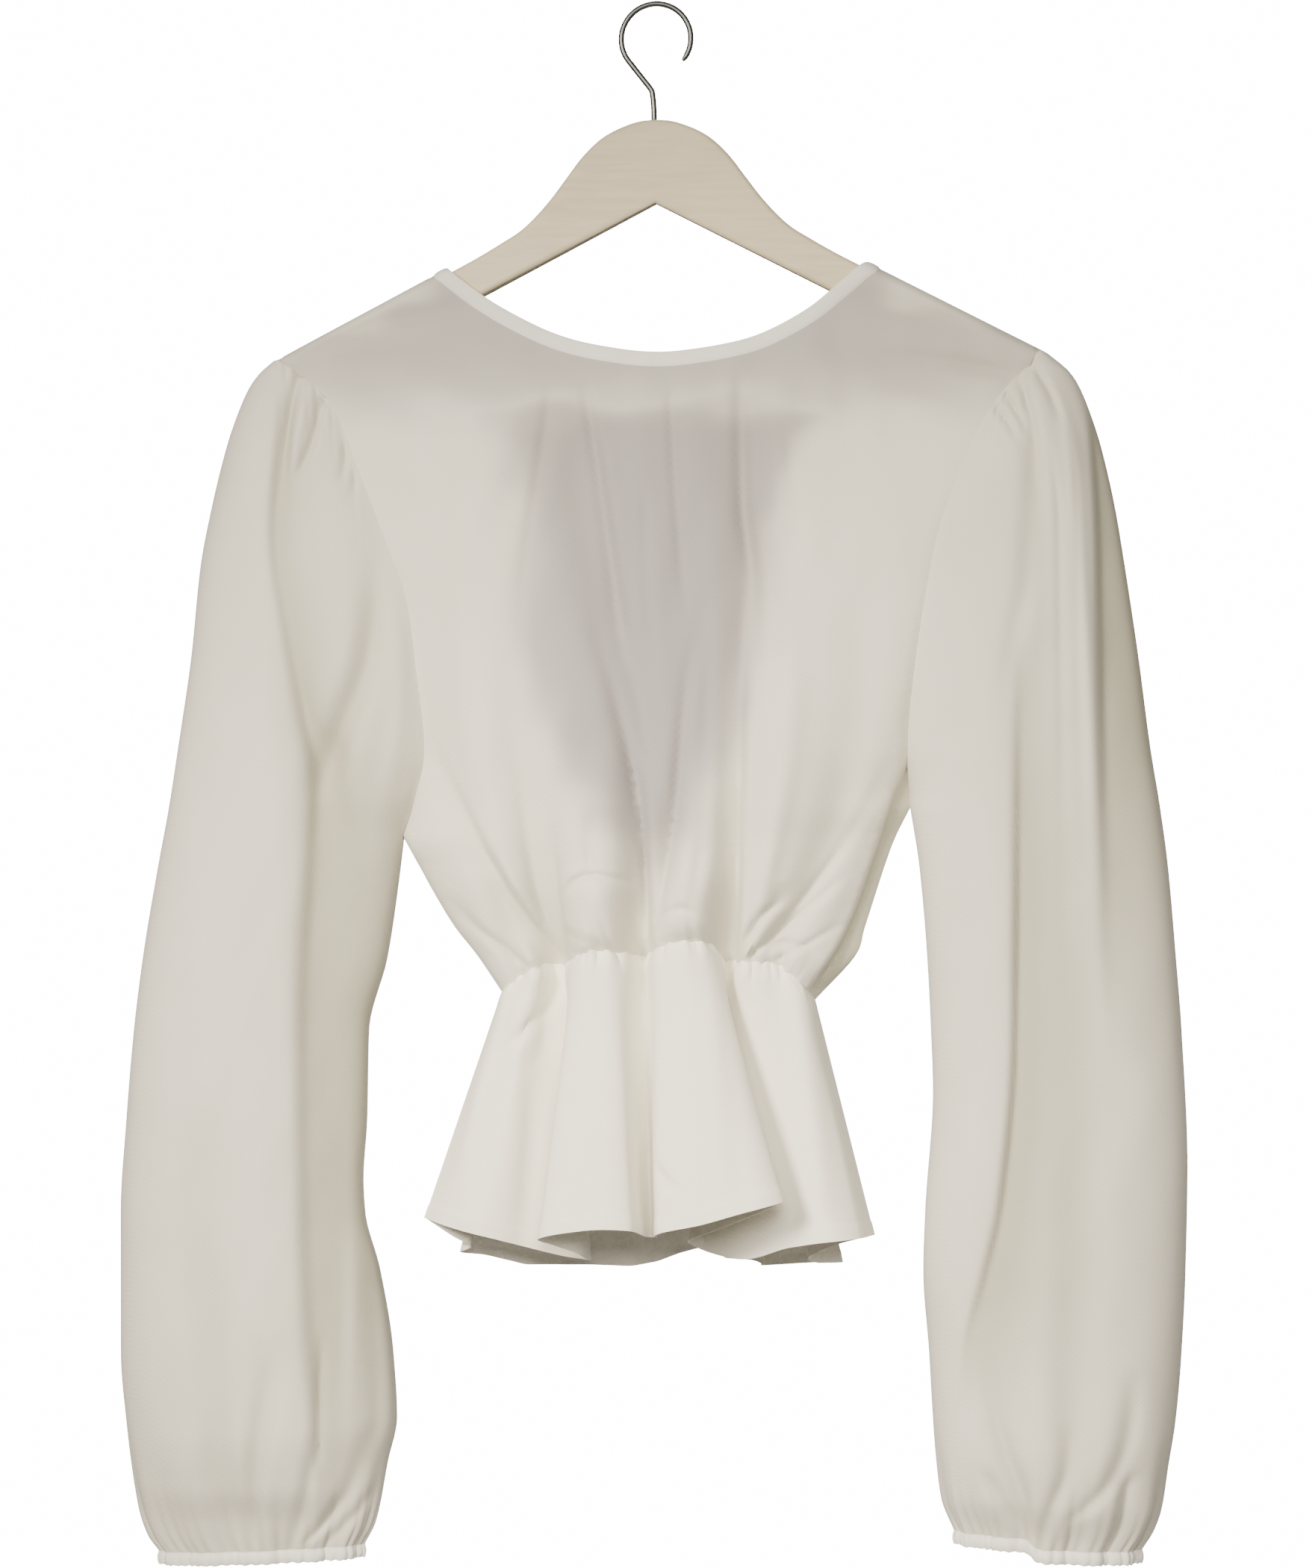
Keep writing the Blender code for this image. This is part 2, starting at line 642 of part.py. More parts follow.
def add_bodice(net):
    """Front, two back panels and the bands round the neck."""
    left_side = side_seam(LEFT_EDGE, LEFT_UNDERARM)
    right_side = side_seam(RIGHT_EDGE, RIGHT_UNDERARM)
    front_waist = waist_seam(FRONT_WAIST, front_depth)
    back_waist = waist_seam(BACK_WAIST, back_depth)
    net.underarms = {net.number(left_side[-1]): -1, net.number(right_side[-1]): 1}
    left_side[0] = front_waist[0]
    right_side[0] = front_waist[-1]
    back_waist[0] = front_waist[0]
    back_waist[-1] = front_waist[-1]

    free, seam = neck_edges(FRONT_NECK, NECK_BAND, NECK_STEPS, front_depth)
    net.add("neck_binding_front", free + seam, grid_faces(free + seam, len(free)), lambda _: Vector((0, -1, 0)))
    outline = (front_waist
               + right_side[1:] + armhole_seam(RIGHT_EDGE, RIGHT_UNDERARM, -1)[1:]
               + shoulder_seam(1)[1:] + seam[-2:0:-1] + shoulder_seam(-1)[::-1]
               + armhole_seam(LEFT_EDGE, LEFT_UNDERARM, -1)[-2::-1] + left_side[-2:0:-1])
    points, faces = fill_panel(outline, front_depth, roll_lines(-1) + roll_lines(1))
    net.add("bodice_front", points, faces, lambda _: Vector((0, -1, 0)))

    free, seam = neck_edges(BACK_NECK, BACK_BAND, BACK_NECK_STEPS, back_depth)
    net.add("neck_binding_back", free + seam, grid_faces(free + seam, len(free)), lambda _: Vector((0, 1, 0)))
    middle = WAIST_STEPS // 2
    for side, edge, underarm, seam_up, keyhole, name in (
            (-1, LEFT_EDGE, LEFT_UNDERARM, left_side, LEFT_KEYHOLE, "bodice_back_left"),
            (1, RIGHT_EDGE, RIGHT_UNDERARM, right_side, RIGHT_KEYHOLE, "bodice_back_right")):
        neck = seam if side < 0 else seam[::-1]
        waist = back_waist if side < 0 else back_waist[::-1]
        corner = next(k for k, point in enumerate(neck) if abs(point.x) < KEYHOLE_TOP * MM)
        foot = waist[middle - KEYHOLE_FOOT_STEPS]
        line = [Vector((neck[corner].x / MM, 0.0, -neck[corner].z / MM))]
        line += [Vector((across, 0.0, drop)) for across, drop in keyhole]
        line.append(Vector((foot.x / MM, 0.0, -foot.z / MM)))
        opening = [place(point.x, back_depth(point.x, point.z), point.z)
                   for point in even_points(smooth_line(line), KEYHOLE_STEPS)]
        outline = (waist[:middle - KEYHOLE_FOOT_STEPS + 1] + opening[-2:0:-1] + neck[corner:0:-1]
                   + shoulder_seam(side)[::-1] + armhole_seam(edge, underarm, 1)[-2::-1] + seam_up[-2:0:-1])
        points, faces = fill_panel(outline, back_depth, roll_lines(side))
        net.add(name, points, faces, lambda _: Vector((0, 1, 0)))
    return front_waist, back_waist


def add_peplum(net, name, waist, hem, outward):
    """A peplum piece that hangs from the waist seam to a waved hem."""
    ends = []
    for k in range(WAIST_STEPS + 1):
        across, depth, drop = read(hem, k * HEM_POINTS / WAIST_STEPS)
        ends.append(place(across, depth, drop))
    points = []
    for row in range(PEPLUM_STEPS + 1):
        t = row / PEPLUM_STEPS
        flare = t**PEPLUM_FLARE
        for top, bottom in zip(waist, ends):
            points.append(Vector((top.x + (bottom.x - top.x) * t,
                                  top.y + (bottom.y - top.y) * flare,
                                  top.z + (bottom.z - top.z) * t)))
    net.add(name, points, grid_faces(points, WAIST_STEPS + 1), outward)


def sleeve_ring(side, drop, inner, start, seams=None):
    """One row of sleeve points, round from the front of the body by the outside to the back."""
    outer = read(LEFT_OUTER if side < 0 else RIGHT_OUTER, drop)[0]
    half_depth = read(SLEEVE_HALF_DEPTH, drop)[0]
    half_width = abs(inner - outer) / (1 + math.cos(start))
    centre = outer - side * half_width
    row = []
    for column in range(SLEEVE_COLUMNS + 1):
        share = column / SLEEVE_COLUMNS
        angle = start + (2 * math.pi - 2 * start) * share
        across = centre - side * half_width * math.cos(angle)
        depth = -half_depth * math.sin(angle)
        if seams:
            front = share < 0.5
            seam_depth = seams[0].y / MM if front else seams[1].y / MM
            arc_depth = -half_depth * math.sin(start) * (1 if front else -1)
            near = max(0.0, 1 - 4 * min(share, 1 - share)) ** 2
            depth += (seam_depth - arc_depth) * near
        facing = math.sin(angle)
        if facing > 0:
            depth += fold_depth(SLEEVE_FOLDS[side], across, drop) * facing
        else:
            depth += fold_depth(SLEEVE_BACK_FOLDS[side], across, drop) * facing
        row.append([across, depth, drop, angle, share])
    return row


def add_sleeve(net, side, edge, underarm, sleeve_name, cuff_name):
    """A full sleeve from its gathered cap to the elastic cuff."""
    front_seam = armhole_seam(edge, underarm, -1)
    back_seam = armhole_seam(edge, underarm, 1)
    inner_rows = LEFT_INNER if side < 0 else RIGHT_INNER
    end = SLEEVE_END[side]
    rows = []
    for k in range(ARMHOLE_STEPS - 1, 0, -1):
        drop = -front_seam[k].z / MM
        start = math.radians(80) * (k / ARMHOLE_STEPS) ** 0.8
        ring = sleeve_ring(side, drop, front_seam[k].x / MM, start, (front_seam[k], back_seam[k]))
        near_cap = min(1.0, 2.0 * k / ARMHOLE_STEPS)
        row = []
        for across, depth, low, angle, share in ring:
            puff = CAP_GATHER * math.cos(math.pi * k) * near_cap
            puff *= math.sin(math.pi * min(1.0, 3.2 * min(share, 1 - share)))
            row.append(place(across - side * puff * math.cos(angle), depth - puff * math.sin(angle), low))
        row[0], row[-1] = front_seam[k], back_seam[k]
        rows.append(row)
    for k in range(SLEEVE_STEPS + 1):
        drop = underarm + (end - underarm) * (1 - (1 - k / SLEEVE_STEPS) ** 1.4)
        ring = sleeve_ring(side, drop, read(inner_rows, drop)[0], 0.0)
        rows.append(gathered_row(side, ring, drop, end, 0.0))
    rows[ARMHOLE_STEPS - 1][0] = rows[ARMHOLE_STEPS - 1][-1] = front_seam[0]
    points = [point for row in rows for point in row]
    columns = SLEEVE_COLUMNS + 1
    faces = grid_faces(points, columns)
    points.append(front_seam[-1])
    faces += [[len(points) - 1, c + 1, c] for c in range(SLEEVE_COLUMNS)]

    def outward(middle):
        drop = -middle.z / MM
        outer = read(LEFT_OUTER if side < 0 else RIGHT_OUTER, drop)[0]
        return middle - place((outer + read(inner_rows, drop)[0]) / 2, 0.0, drop)

    net.add(sleeve_name, points, faces, outward)
    ring = sleeve_ring(side, end, read(inner_rows, end)[0], 0.0)
    band = rows[-1] + gathered_row(side, ring, end, end, CUFF_HEIGHT)
    net.add(cuff_name, band, grid_faces(band, columns), outward)


def gathered_row(side, ring, drop, end, lower):
    """A closed row with its share of the cuff's gathers and tilt, set lower by the given amount."""
    gather = max(0.0, (drop - CUFF_GATHER_FROM) / (end - CUFF_GATHER_FROM)) * CUFF_GATHER
    tilt = max(0.0, (drop - CUFF_TILT_FROM) / (end - CUFF_TILT_FROM)) ** 2 * CUFF_TILT[side]
    row = []
    for across, depth, low, angle, share in ring:
        wave = gather * math.cos(2 * math.pi * CUFF_GATHERS * share)
        lift = tilt * (0.5 + 0.5 * math.cos(angle))
        row.append(place(across - side * wave * math.cos(angle), depth - wave * math.sin(angle),
                         low + lower - lift))
    row[-1] = row[0]
    return row


def material(name, colour, roughness, metallic=0.0):
    """A plain Principled material."""
    made = bpy.data.materials.new(name)
    made.use_nodes = True
    shader = made.node_tree.nodes["Principled BSDF"]
    shader.inputs["Base Color"].default_value = (*colour, 1.0)
    shader.inputs["Roughness"].default_value = roughness
    shader.inputs["Metallic"].default_value = metallic
    return made


def add_mesh(name, points, faces, finish, collection):
    """A named mesh object in the part's collection."""
    mesh = bpy.data.meshes.new(name)
    mesh.from_pydata([tuple(point) for point in points], [], faces)
    mesh.update()
    mesh.materials.append(finish)
    mesh.shade_smooth()
    mesh.set_sharp_from_angle(angle=math.radians(50))
    made = bpy.data.objects.new(name, mesh)
    collection.objects.link(made)
    return made


def hanger_outline():
    """Right half of the hanger's outline from the crown round the tip to the notch."""
    crown = [Vector((across, 0.0, -drop)) for across, drop in HANGER_CROWN]
    tip_top = shoulder_drop(HANGER_TIP - HANGER_TIP_RADIUS) + SHOULDER_SEAT
    top = [Vector((x, 0.0, -(shoulder_drop(x) + SHOULDER_SEAT))) for x in (NECK_HALF - 14, 125.0, 150.0)]
    top.append(Vector((HANGER_TIP - HANGER_TIP_RADIUS, 0.0, -tip_top)))
    low = HANGER_NOTCH_DROP + HANGER_NOTCH_SLOPE * (HANGER_TIP - HANGER_TIP_RADIUS)
    tip = [Vector((HANGER_TIP - 1.5, 0.0, -(tip_top + 6.0))), Vector((HANGER_TIP - 1.5, 0.0, -(low - 5.0)))]
    under = [Vector((HANGER_TIP - HANGER_TIP_RADIUS, 0.0, -low)), Vector((90.0, 0.0, 0.0))]
    under[1].z = -(HANGER_NOTCH_DROP + HANGER_NOTCH_SLOPE * under[1].x)
    return crown + top + tip + under


def add_hanger(collection):
    """The flat wooden hanger: its outline drawn out to its thickness, with eased edges."""
    half = hanger_outline()
    mirrored = [Vector((-point.x, 0.0, point.z)) for point in reversed(half[1:])]
    outline = half + [Vector((0.0, 0.0, -HANGER_NOTCH_DROP))] + mirrored
    build = bmesh.new()
    face = build.faces.new([build.verts.new(Vector((p.x, -HANGER_THICK / 2, p.z)) * MM) for p in outline])
    grown = bmesh.ops.extrude_face_region(build, geom=[face])
    back = [item for item in grown["geom"] if isinstance(item, bmesh.types.BMVert)]
    bmesh.ops.translate(build, verts=back, vec=(0.0, HANGER_THICK * MM, 0.0))
    bmesh.ops.recalc_face_normals(build, faces=build.faces)
    mesh = bpy.data.meshes.new("hanger_body")
    build.to_mesh(mesh)
    build.free()
    mesh.materials.append(material("painted_wood", (0.55, 0.50, 0.37), 0.45))
    hanger = bpy.data.objects.new("hanger_body", mesh)
    collection.objects.link(hanger)
    edges = hanger.modifiers.new("eased edges", "BEVEL")
    edges.width = HANGER_EDGE * MM
    edges.segments = 2
    edges.limit_method = "ANGLE"
    edges.angle_limit = math.radians(62)


def add_hook(collection):
    """The wire hook: a short shank, a bend, and most of a circle over the rail."""
    centre_drop = HOOK_RADIUS - HOOK_WIRE / 2
    lean = math.radians(218)
    path = [(-1.0, HANGER_TOP_DROP - 0.45), (-1.2, 52.0), (-1.8, HOOK_BEND_DROP + 2), (-2.8, HOOK_BEND_DROP - 1)]
    tangent = Vector((HOOK_RADIUS * math.cos(lean), centre_drop - HOOK_RADIUS * math.sin(lean)))
    path.append(((path[-1][0] + tangent.x) / 2, (path[-1][1] + tangent.y) / 2))
    turns = 22
    for k in range(turns + 1):
        angle = lean - math.radians(258) * k / turns
        path.append((HOOK_RADIUS * math.cos(angle), centre_drop - HOOK_RADIUS * math.sin(angle)))
    curve = bpy.data.curves.new("hanger_hook", "CURVE")
    curve.dimensions = "3D"
    curve.bevel_depth = HOOK_WIRE * MM / 2
    curve.bevel_resolution = 2
    curve.use_fill_caps = True
    spline = curve.splines.new("POLY")
    spline.points.add(len(path) - 1)
    for point, (across, drop) in zip(spline.points, path):
        point.co = (*place(across, 0.0, drop), 1.0)
    curve.materials.append(material("steel_wire", (0.16, 0.17, 0.17), 0.35, 1.0))
    collection.objects.link(bpy.data.objects.new("hanger_hook", curve))


def main():
    clear_scene()
    collection = bpy.data.collections.new("peplum_top")
    bpy.context.scene.collection.children.link(collection)
    net = ClothNet()
    front_waist, back_waist = add_bodice(net)
    add_peplum(net, "peplum_front", front_waist, FRONT_HEM, lambda _: Vector((0, -1, 0)))
    add_peplum(net, "peplum_back", back_waist, BACK_HEM, lambda _: Vector((0, 1, 0)))
    add_sleeve(net, -1, LEFT_EDGE, LEFT_UNDERARM, "sleeve_left", "cuff_left")
    add_sleeve(net, 1, RIGHT_EDGE, RIGHT_UNDERARM, "sleeve_right", "cuff_right")
    normals = net.point_normals()
    thickness = {"neck_binding_front": BINDING, "neck_binding_back": BINDING,
                 "cuff_left": CUFF_BAND, "cuff_right": CUFF_BAND}
    for name in net.pieces:
        points, faces = net.wall(name, thickness.get(name, CLOTH), normals)
        cloth = material(name + "_cloth", (0.62, 0.60, 0.54), 0.85)
        add_mesh(name, points, faces, cloth, collection)
    add_hanger(collection)
    add_hook(collection)


main()
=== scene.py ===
"""Looks of the white peplum top on its flat wooden hanger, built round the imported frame.

Tables are in millimetres: across is to the viewer's right, depth is away from the viewer, and drop
is how far a point hangs below the place where the hook takes the rail. Left and right are the
viewer's. A fold's depth pushes the cloth in, and a negative one lifts it out.
"""
import json
import math

import bmesh
import bpy
import numpy as np
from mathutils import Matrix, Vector
from mathutils.geometry import delaunay_2d_cdt

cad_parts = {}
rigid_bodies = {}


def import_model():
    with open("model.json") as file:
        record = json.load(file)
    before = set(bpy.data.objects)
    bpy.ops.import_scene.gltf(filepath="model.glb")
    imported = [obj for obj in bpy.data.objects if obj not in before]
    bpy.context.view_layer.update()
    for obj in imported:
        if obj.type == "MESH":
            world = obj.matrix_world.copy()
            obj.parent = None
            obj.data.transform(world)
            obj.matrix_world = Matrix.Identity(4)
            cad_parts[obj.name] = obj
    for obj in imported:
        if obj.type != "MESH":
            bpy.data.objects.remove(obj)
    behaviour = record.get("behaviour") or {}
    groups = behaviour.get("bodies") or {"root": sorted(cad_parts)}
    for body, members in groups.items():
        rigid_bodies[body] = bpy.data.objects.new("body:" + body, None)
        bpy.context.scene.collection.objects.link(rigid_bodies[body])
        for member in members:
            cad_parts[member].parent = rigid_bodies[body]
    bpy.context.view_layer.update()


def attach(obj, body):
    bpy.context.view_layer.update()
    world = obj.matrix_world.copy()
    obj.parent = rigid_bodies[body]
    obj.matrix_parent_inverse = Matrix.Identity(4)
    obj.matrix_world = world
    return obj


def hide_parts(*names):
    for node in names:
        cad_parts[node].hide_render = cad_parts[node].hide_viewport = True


for item in list(bpy.data.objects):
    bpy.data.objects.remove(item, do_unlink=True)
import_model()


# Camera and studio
# The camera stands a little to the right of the garment's middle, level with its chest. Two soft
# lights stand in front, the stronger one to the left, with a weak one overhead and one behind.
# The camera sees white paper all round, and a plain pale floor lies far below.
MM = 0.001
# The two sides of the garment, by the sign of across
SIDES = {-1: "left", 1: "right"}
VIEW_TURN = math.radians(7.0)
VIEW_DISTANCE = 2.2
VIEW_MIDDLE = Vector((0.0, 0.0, -0.406))
PHOTO_TALL = 0.819
FILM_TALL = 36.0
LIGHT_TARGET = Vector((0.05, 0.0, -0.66))
# Lights: name, place, size, power, colour, spread in degrees
LIGHTS = [("key_light", (-0.75, -1.50, 0.10), 0.45, 5.8, (1.0, 0.905, 0.745), 52),
          ("front_light", (0.30, -1.9, 0.12), 0.7, 4.2, (1.0, 0.915, 0.76), 48),
          ("top_light", (0.0, -0.2, 1.5), 1.2, 1.6, (1.0, 0.95, 0.88), 180),
          ("back_light", (0.6, 2.2, 0.3), 1.6, 8.0, (1.0, 0.95, 0.88), 180)]
AMBIENT = (1.0, 0.95, 0.87, 1.0)
PAPER = (1.0, 1.0, 1.0, 1.0)
FLOOR_GREY = (0.86, 0.86, 0.85)
FLOOR_RADIUS = 1.5
FLOOR_LEVEL = -1.3


def aim(item, target):
    """Turn a camera or light towards a point."""
    item.rotation_euler = (target - item.location).to_track_quat("-Z", "Y").to_euler()


def add_node(tree, kind, sockets=(), **settings):
    """A new shader node. Each named socket takes a value or the output that feeds it."""
    node = tree.nodes.new("ShaderNode" + kind)
    for name, value in settings.items():
        setattr(node, name, value)
    for name, value in dict(sockets).items():
        if isinstance(value, bpy.types.NodeSocket):
            tree.links.new(value, node.inputs[name])
        else:
            node.inputs[name].default_value = value
    return node


def new_material(name, colour, roughness):
    """A node material, with its tree and its Principled shader."""
    made = bpy.data.materials.new(name)
    made.use_nodes = True
    shader = made.node_tree.nodes["Principled BSDF"]
    shader.inputs["Base Color"].default_value = (*colour, 1.0)
    shader.inputs["Roughness"].default_value = roughness
    return made, made.node_tree, shader


lens = bpy.data.cameras.new("view")
lens.sensor_fit = "VERTICAL"
lens.sensor_height = FILM_TALL
lens.lens = FILM_TALL * VIEW_DISTANCE / PHOTO_TALL
camera = bpy.data.objects.new("view", lens)
camera.location = VIEW_MIDDLE + Vector((math.sin(VIEW_TURN), -math.cos(VIEW_TURN), 0.0)) * VIEW_DISTANCE
aim(camera, VIEW_MIDDLE)
bpy.context.scene.collection.objects.link(camera)
bpy.context.scene.camera = camera

for name, place_at, size, power, colour, spread in LIGHTS:
    lamp = bpy.data.lights.new(name, "AREA")
    lamp.size = size
    lamp.spread = math.radians(spread)
    lamp.energy = power
    lamp.color = colour
    light = bpy.data.objects.new(name, lamp)
    light.location = place_at
    aim(light, LIGHT_TARGET)
    bpy.context.scene.collection.objects.link(light)

world = bpy.data.worlds.new("studio")
world.use_nodes = True
room = world.node_tree
ambient = room.nodes["Background"]
ambient.inputs["Color"].default_value = AMBIENT
ambient.inputs["Strength"].default_value = 0.16
paper = add_node(room, "Background", {"Color": PAPER, "Strength": 16.0})
seen = add_node(room, "LightPath")
either = add_node(room, "MixShader", {
    "Fac": seen.outputs["Is Camera Ray"], 1: ambient.outputs[0], 2: paper.outputs[0]})
room.links.new(either.outputs[0], room.nodes["World Output"].inputs["Surface"])
bpy.context.scene.world = world

floor_mesh = bmesh.new()
bmesh.ops.create_circle(floor_mesh, cap_ends=True, segments=96, radius=FLOOR_RADIUS)
bmesh.ops.translate(floor_mesh, verts=floor_mesh.verts, vec=(0.0, 0.0, FLOOR_LEVEL))
floor_data = bpy.data.meshes.new("studio_floor")
floor_mesh.to_mesh(floor_data)
floor_mesh.free()
floor = bpy.data.objects.new("studio_floor", floor_data)
floor_data.materials.append(new_material("pale_floor", FLOOR_GREY, 0.8)[0])
bpy.context.scene.collection.objects.link(floor)


# Hanger board
# A flat wooden hanger, cut from one board 12 mm thick with eased edges, and painted a warm cream
# that lets a little of the grain through. Its arms run down inside the shoulders.
BOARD_THICK = 12.0
BOARD_EASE = 2.6
BOARD_TIP = 184.0
BOARD_TIP_RADIUS = 8.0
BOARD_SEAT = 3.0
BOARD_ARM_POINTS = (96.0, 125.0, 150.0)
BOARD_TOP_DROP = 59.5
NOTCH_DROP = 103.0
NOTCH_SLOPE = 0.515
NOTCH_STRAIGHT = 90.0
SHOULDER_HALF = 200.0
SHOULDER_DROP = 182.0
NECK_HALF = 110.0
NECK_DROP = 135.5
# Top of the board in the neck opening: across, drop
BOARD_CROWN = [(0, BOARD_TOP_DROP), (8, 60.2), (16, 62.6), (24, 66.2), (31, 71), (39, 79), (47, 89.5),
               (55, 100), (63, 109), (71, 116.3), (80, 122)]
CREAM_PAINT = (0.70, 0.62, 0.44)
CREAM_WORN = (0.50, 0.44, 0.32)


def smooth_line(points, pieces=12):
    """A fine polyline through a few points, as a Catmull-Rom curve."""
    points = np.array(points, float)
    padded = np.vstack([2 * points[0] - points[1], points, 2 * points[-1] - points[-2]])
    t = (np.arange(pieces) / pieces)[:, None]
    line = [0.5 * (2 * b + (c - a) * t + (2 * a - 5 * b + 4 * c - d) * t**2 + (3 * b - a - 3 * c + d) * t**3)
            for a, b, c, d in zip(padded, padded[1:], padded[2:], padded[3:])]
    return np.vstack(line + [points[-1:]])


def shoulder_drop(across):
    """Drop of the shoulder line, which runs on straight above the neck opening."""
    rise = (SHOULDER_DROP - NECK_DROP) / (SHOULDER_HALF - NECK_HALF)
    return NECK_DROP + (np.abs(across) - NECK_HALF) * rise


def mix_colours(tree, share, first, second):
    """The output that turns from a first colour, fixed or fed in, to a second by a share from 0 to 1."""
    first = first if isinstance(first, bpy.types.NodeSocket) else (*first, 1.0)
    mixed = add_node(tree, "Mix", {"Factor": share, "A": first, "B": (*second, 1.0)}, data_type="RGBA")
    return mixed.outputs["Result"]


def add_relief(tree, shader, height, strength, distance):
    """Let a height stand out of the surface as fine relief."""
    bump = add_node(tree, "Bump", {"Height": height, "Strength": strength, "Distance": distance})
    tree.links.new(bump.outputs[0], shader.inputs["Normal"])


def show(piece, node, material):
    """Put a finished piece on the frame in place of its CAD node."""
    piece.data.materials.append(material)
    bpy.context.scene.collection.objects.link(piece)
    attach(piece, "root")
    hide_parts(node)


tip_from = BOARD_TIP - BOARD_TIP_RADIUS
tip_top = shoulder_drop(tip_from) + BOARD_SEAT
tip_low = NOTCH_DROP + NOTCH_SLOPE * tip_from
tip_end = BOARD_TIP - 1.5
arm_top = [(x, shoulder_drop(x) + BOARD_SEAT) for x in (*BOARD_ARM_POINTS, tip_from)]
crown_line = smooth_line(BOARD_CROWN + arm_top[:2], 5)[:-1]
tip_line = [arm_top[-1], (tip_end, tip_top + 6.0), (tip_end, tip_low - 5.0), (tip_from, tip_low)]
tip_line = smooth_line(tip_line, 4)
notch_point = (NOTCH_STRAIGHT, NOTCH_DROP + NOTCH_SLOPE * NOTCH_STRAIGHT)
board_half = np.vstack([crown_line, arm_top[1:3], tip_line, [notch_point]])
board_outline = np.vstack([board_half, [(0.0, NOTCH_DROP)], board_half[:0:-1] * (-1, 1)])
build = bmesh.new()
corners = [build.verts.new((x * MM, -BOARD_THICK / 2 * MM, -d * MM)) for x, d in board_outline]
grown = bmesh.ops.extrude_face_region(build, geom=[build.faces.new(corners)])
bmesh.ops.translate(build, verts=[v for v in grown["geom"] if isinstance(v, bmesh.types.BMVert)],
                    vec=(0.0, BOARD_THICK * MM, 0.0))
bmesh.ops.recalc_face_normals(build, faces=build.faces)
board_data = bpy.data.meshes.new("hanger_board")
build.to_mesh(board_data)
build.free()
board = bpy.data.objects.new("hanger_board", board_data)
ease = board.modifiers.new("eased edges", "BEVEL")
ease.width = BOARD_EASE * MM
ease.segments = 4
ease.limit_method = "ANGLE"
ease.angle_limit = math.radians(62)
ease.harden_normals = True
board_data.shade_smooth()
board_data.set_sharp_from_angle(angle=math.radians(40))

paint, tree, shader = new_material("cream_painted_wood", CREAM_PAINT, 0.5)
shader.inputs["Specular IOR Level"].default_value = 0.4
place_on = add_node(tree, "TexCoord").outputs["Object"]
along = add_node(tree, "Mapping", {"Vector": place_on, "Scale": (14.0, 60.0, 130.0)})
grain = add_node(tree, "TexNoise", {
    "Vector": along.outputs[0], "Scale": 2.4, "Detail": 6.0, "Distortion": 0.4})
cloudy = add_node(tree, "TexNoise", {"Vector": place_on, "Scale": 16.0})
shade = add_node(tree, "MapRange", {"Value": grain.outputs["Fac"], "From Min": 0.35, "From Max": 0.75})
worn = add_node(tree, "Math", {0: shade.outputs[0], 1: cloudy.outputs["Fac"]}, operation="MULTIPLY")
tree.links.new(mix_colours(tree, worn.outputs[0], CREAM_PAINT, CREAM_WORN), shader.inputs["Base Color"])
add_relief(tree, shader, grain.outputs["Fac"], 0.12, 0.0006)
show(board, "hanger_body", paint)


# Wire hook
# A 3 mm steel wire, screwed into the top of the board, bent back a little and turned over in an
# open ring that takes the rail. Its end is rounded.
HOOK_RADIUS = 18.3
HOOK_WIRE = 3.0
HOOK_BEND = (-2.8, 43.0)
HOOK_TURNS = 60
WIRE_END = (0.45, 0.8, 0.96)
HOOK_LEAN = math.radians(218)
HOOK_SWEEP = math.radians(258)
STEEL = (0.17, 0.18, 0.18)

hook_middle = HOOK_RADIUS - HOOK_WIRE / 2
turn = HOOK_LEAN - HOOK_SWEEP * np.linspace(0, 1, HOOK_TURNS)
ring = np.stack([HOOK_RADIUS * np.cos(turn), hook_middle - HOOK_RADIUS * np.sin(turn)], axis=1)
stem = smooth_line([(-1.0, BOARD_TOP_DROP - 0.45), (-1.2, 52.0), (-1.8, 46.0), HOOK_BEND,
                    tuple((HOOK_BEND + ring[0]) / 2), tuple(ring[0])], 6)[:-1]
wire_path = np.vstack([stem, ring])
hook_curve = bpy.data.curves.new("hanger_wire", "CURVE")
hook_curve.dimensions = "3D"
hook_curve.bevel_depth = HOOK_WIRE * MM / 2
hook_curve.bevel_resolution = 6
hook_curve.use_fill_caps = True
spline = hook_curve.splines.new("POLY")
spline.points.add(len(wire_path) - 1)
for k, (point, (x, d)) in enumerate(zip(spline.points, wire_path)):
    point.co = (x * MM, 0.0, -d * MM, 1.0)
    left_over = len(wire_path) - 1 - k
    point.radius = WIRE_END[left_over] if left_over < len(WIRE_END) else 1.0
hook = bpy.data.objects.new("hanger_wire", hook_curve)
steel, tree, shader = new_material("dark_steel_wire", STEEL, 0.34)
shader.inputs["Metallic"].default_value = 1.0
place_on = add_node(tree, "TexCoord").outputs["Object"]
scuff = add_node(tree, "TexNoise", {"Vector": place_on, "Scale": 420.0, "Detail": 4.0})
dull = add_node(tree, "MapRange", {"Value": scuff.outputs["Fac"], "To Min": 0.26, "To Max": 0.46})
tree.links.new(dull.outputs[0], shader.inputs["Roughness"])
show(hook, "hanger_hook", steel)


# Bodice front
# One wide piece of fine off-white cloth, sewn to the backs along the shoulders and sides and drawn
# in by elastic at the waist, so that its fullness falls in soft folds from the neck to the seam.
CLOTH = 1.0
CLOTH_SHARP = math.radians(60)
SEAM_GAP = 0.16
CLOTH_LIGHT = (0.76, 0.73, 0.655)
CLOTH_DARK = (0.71, 0.68, 0.605)
CLOTH_ROUGH = 0.82
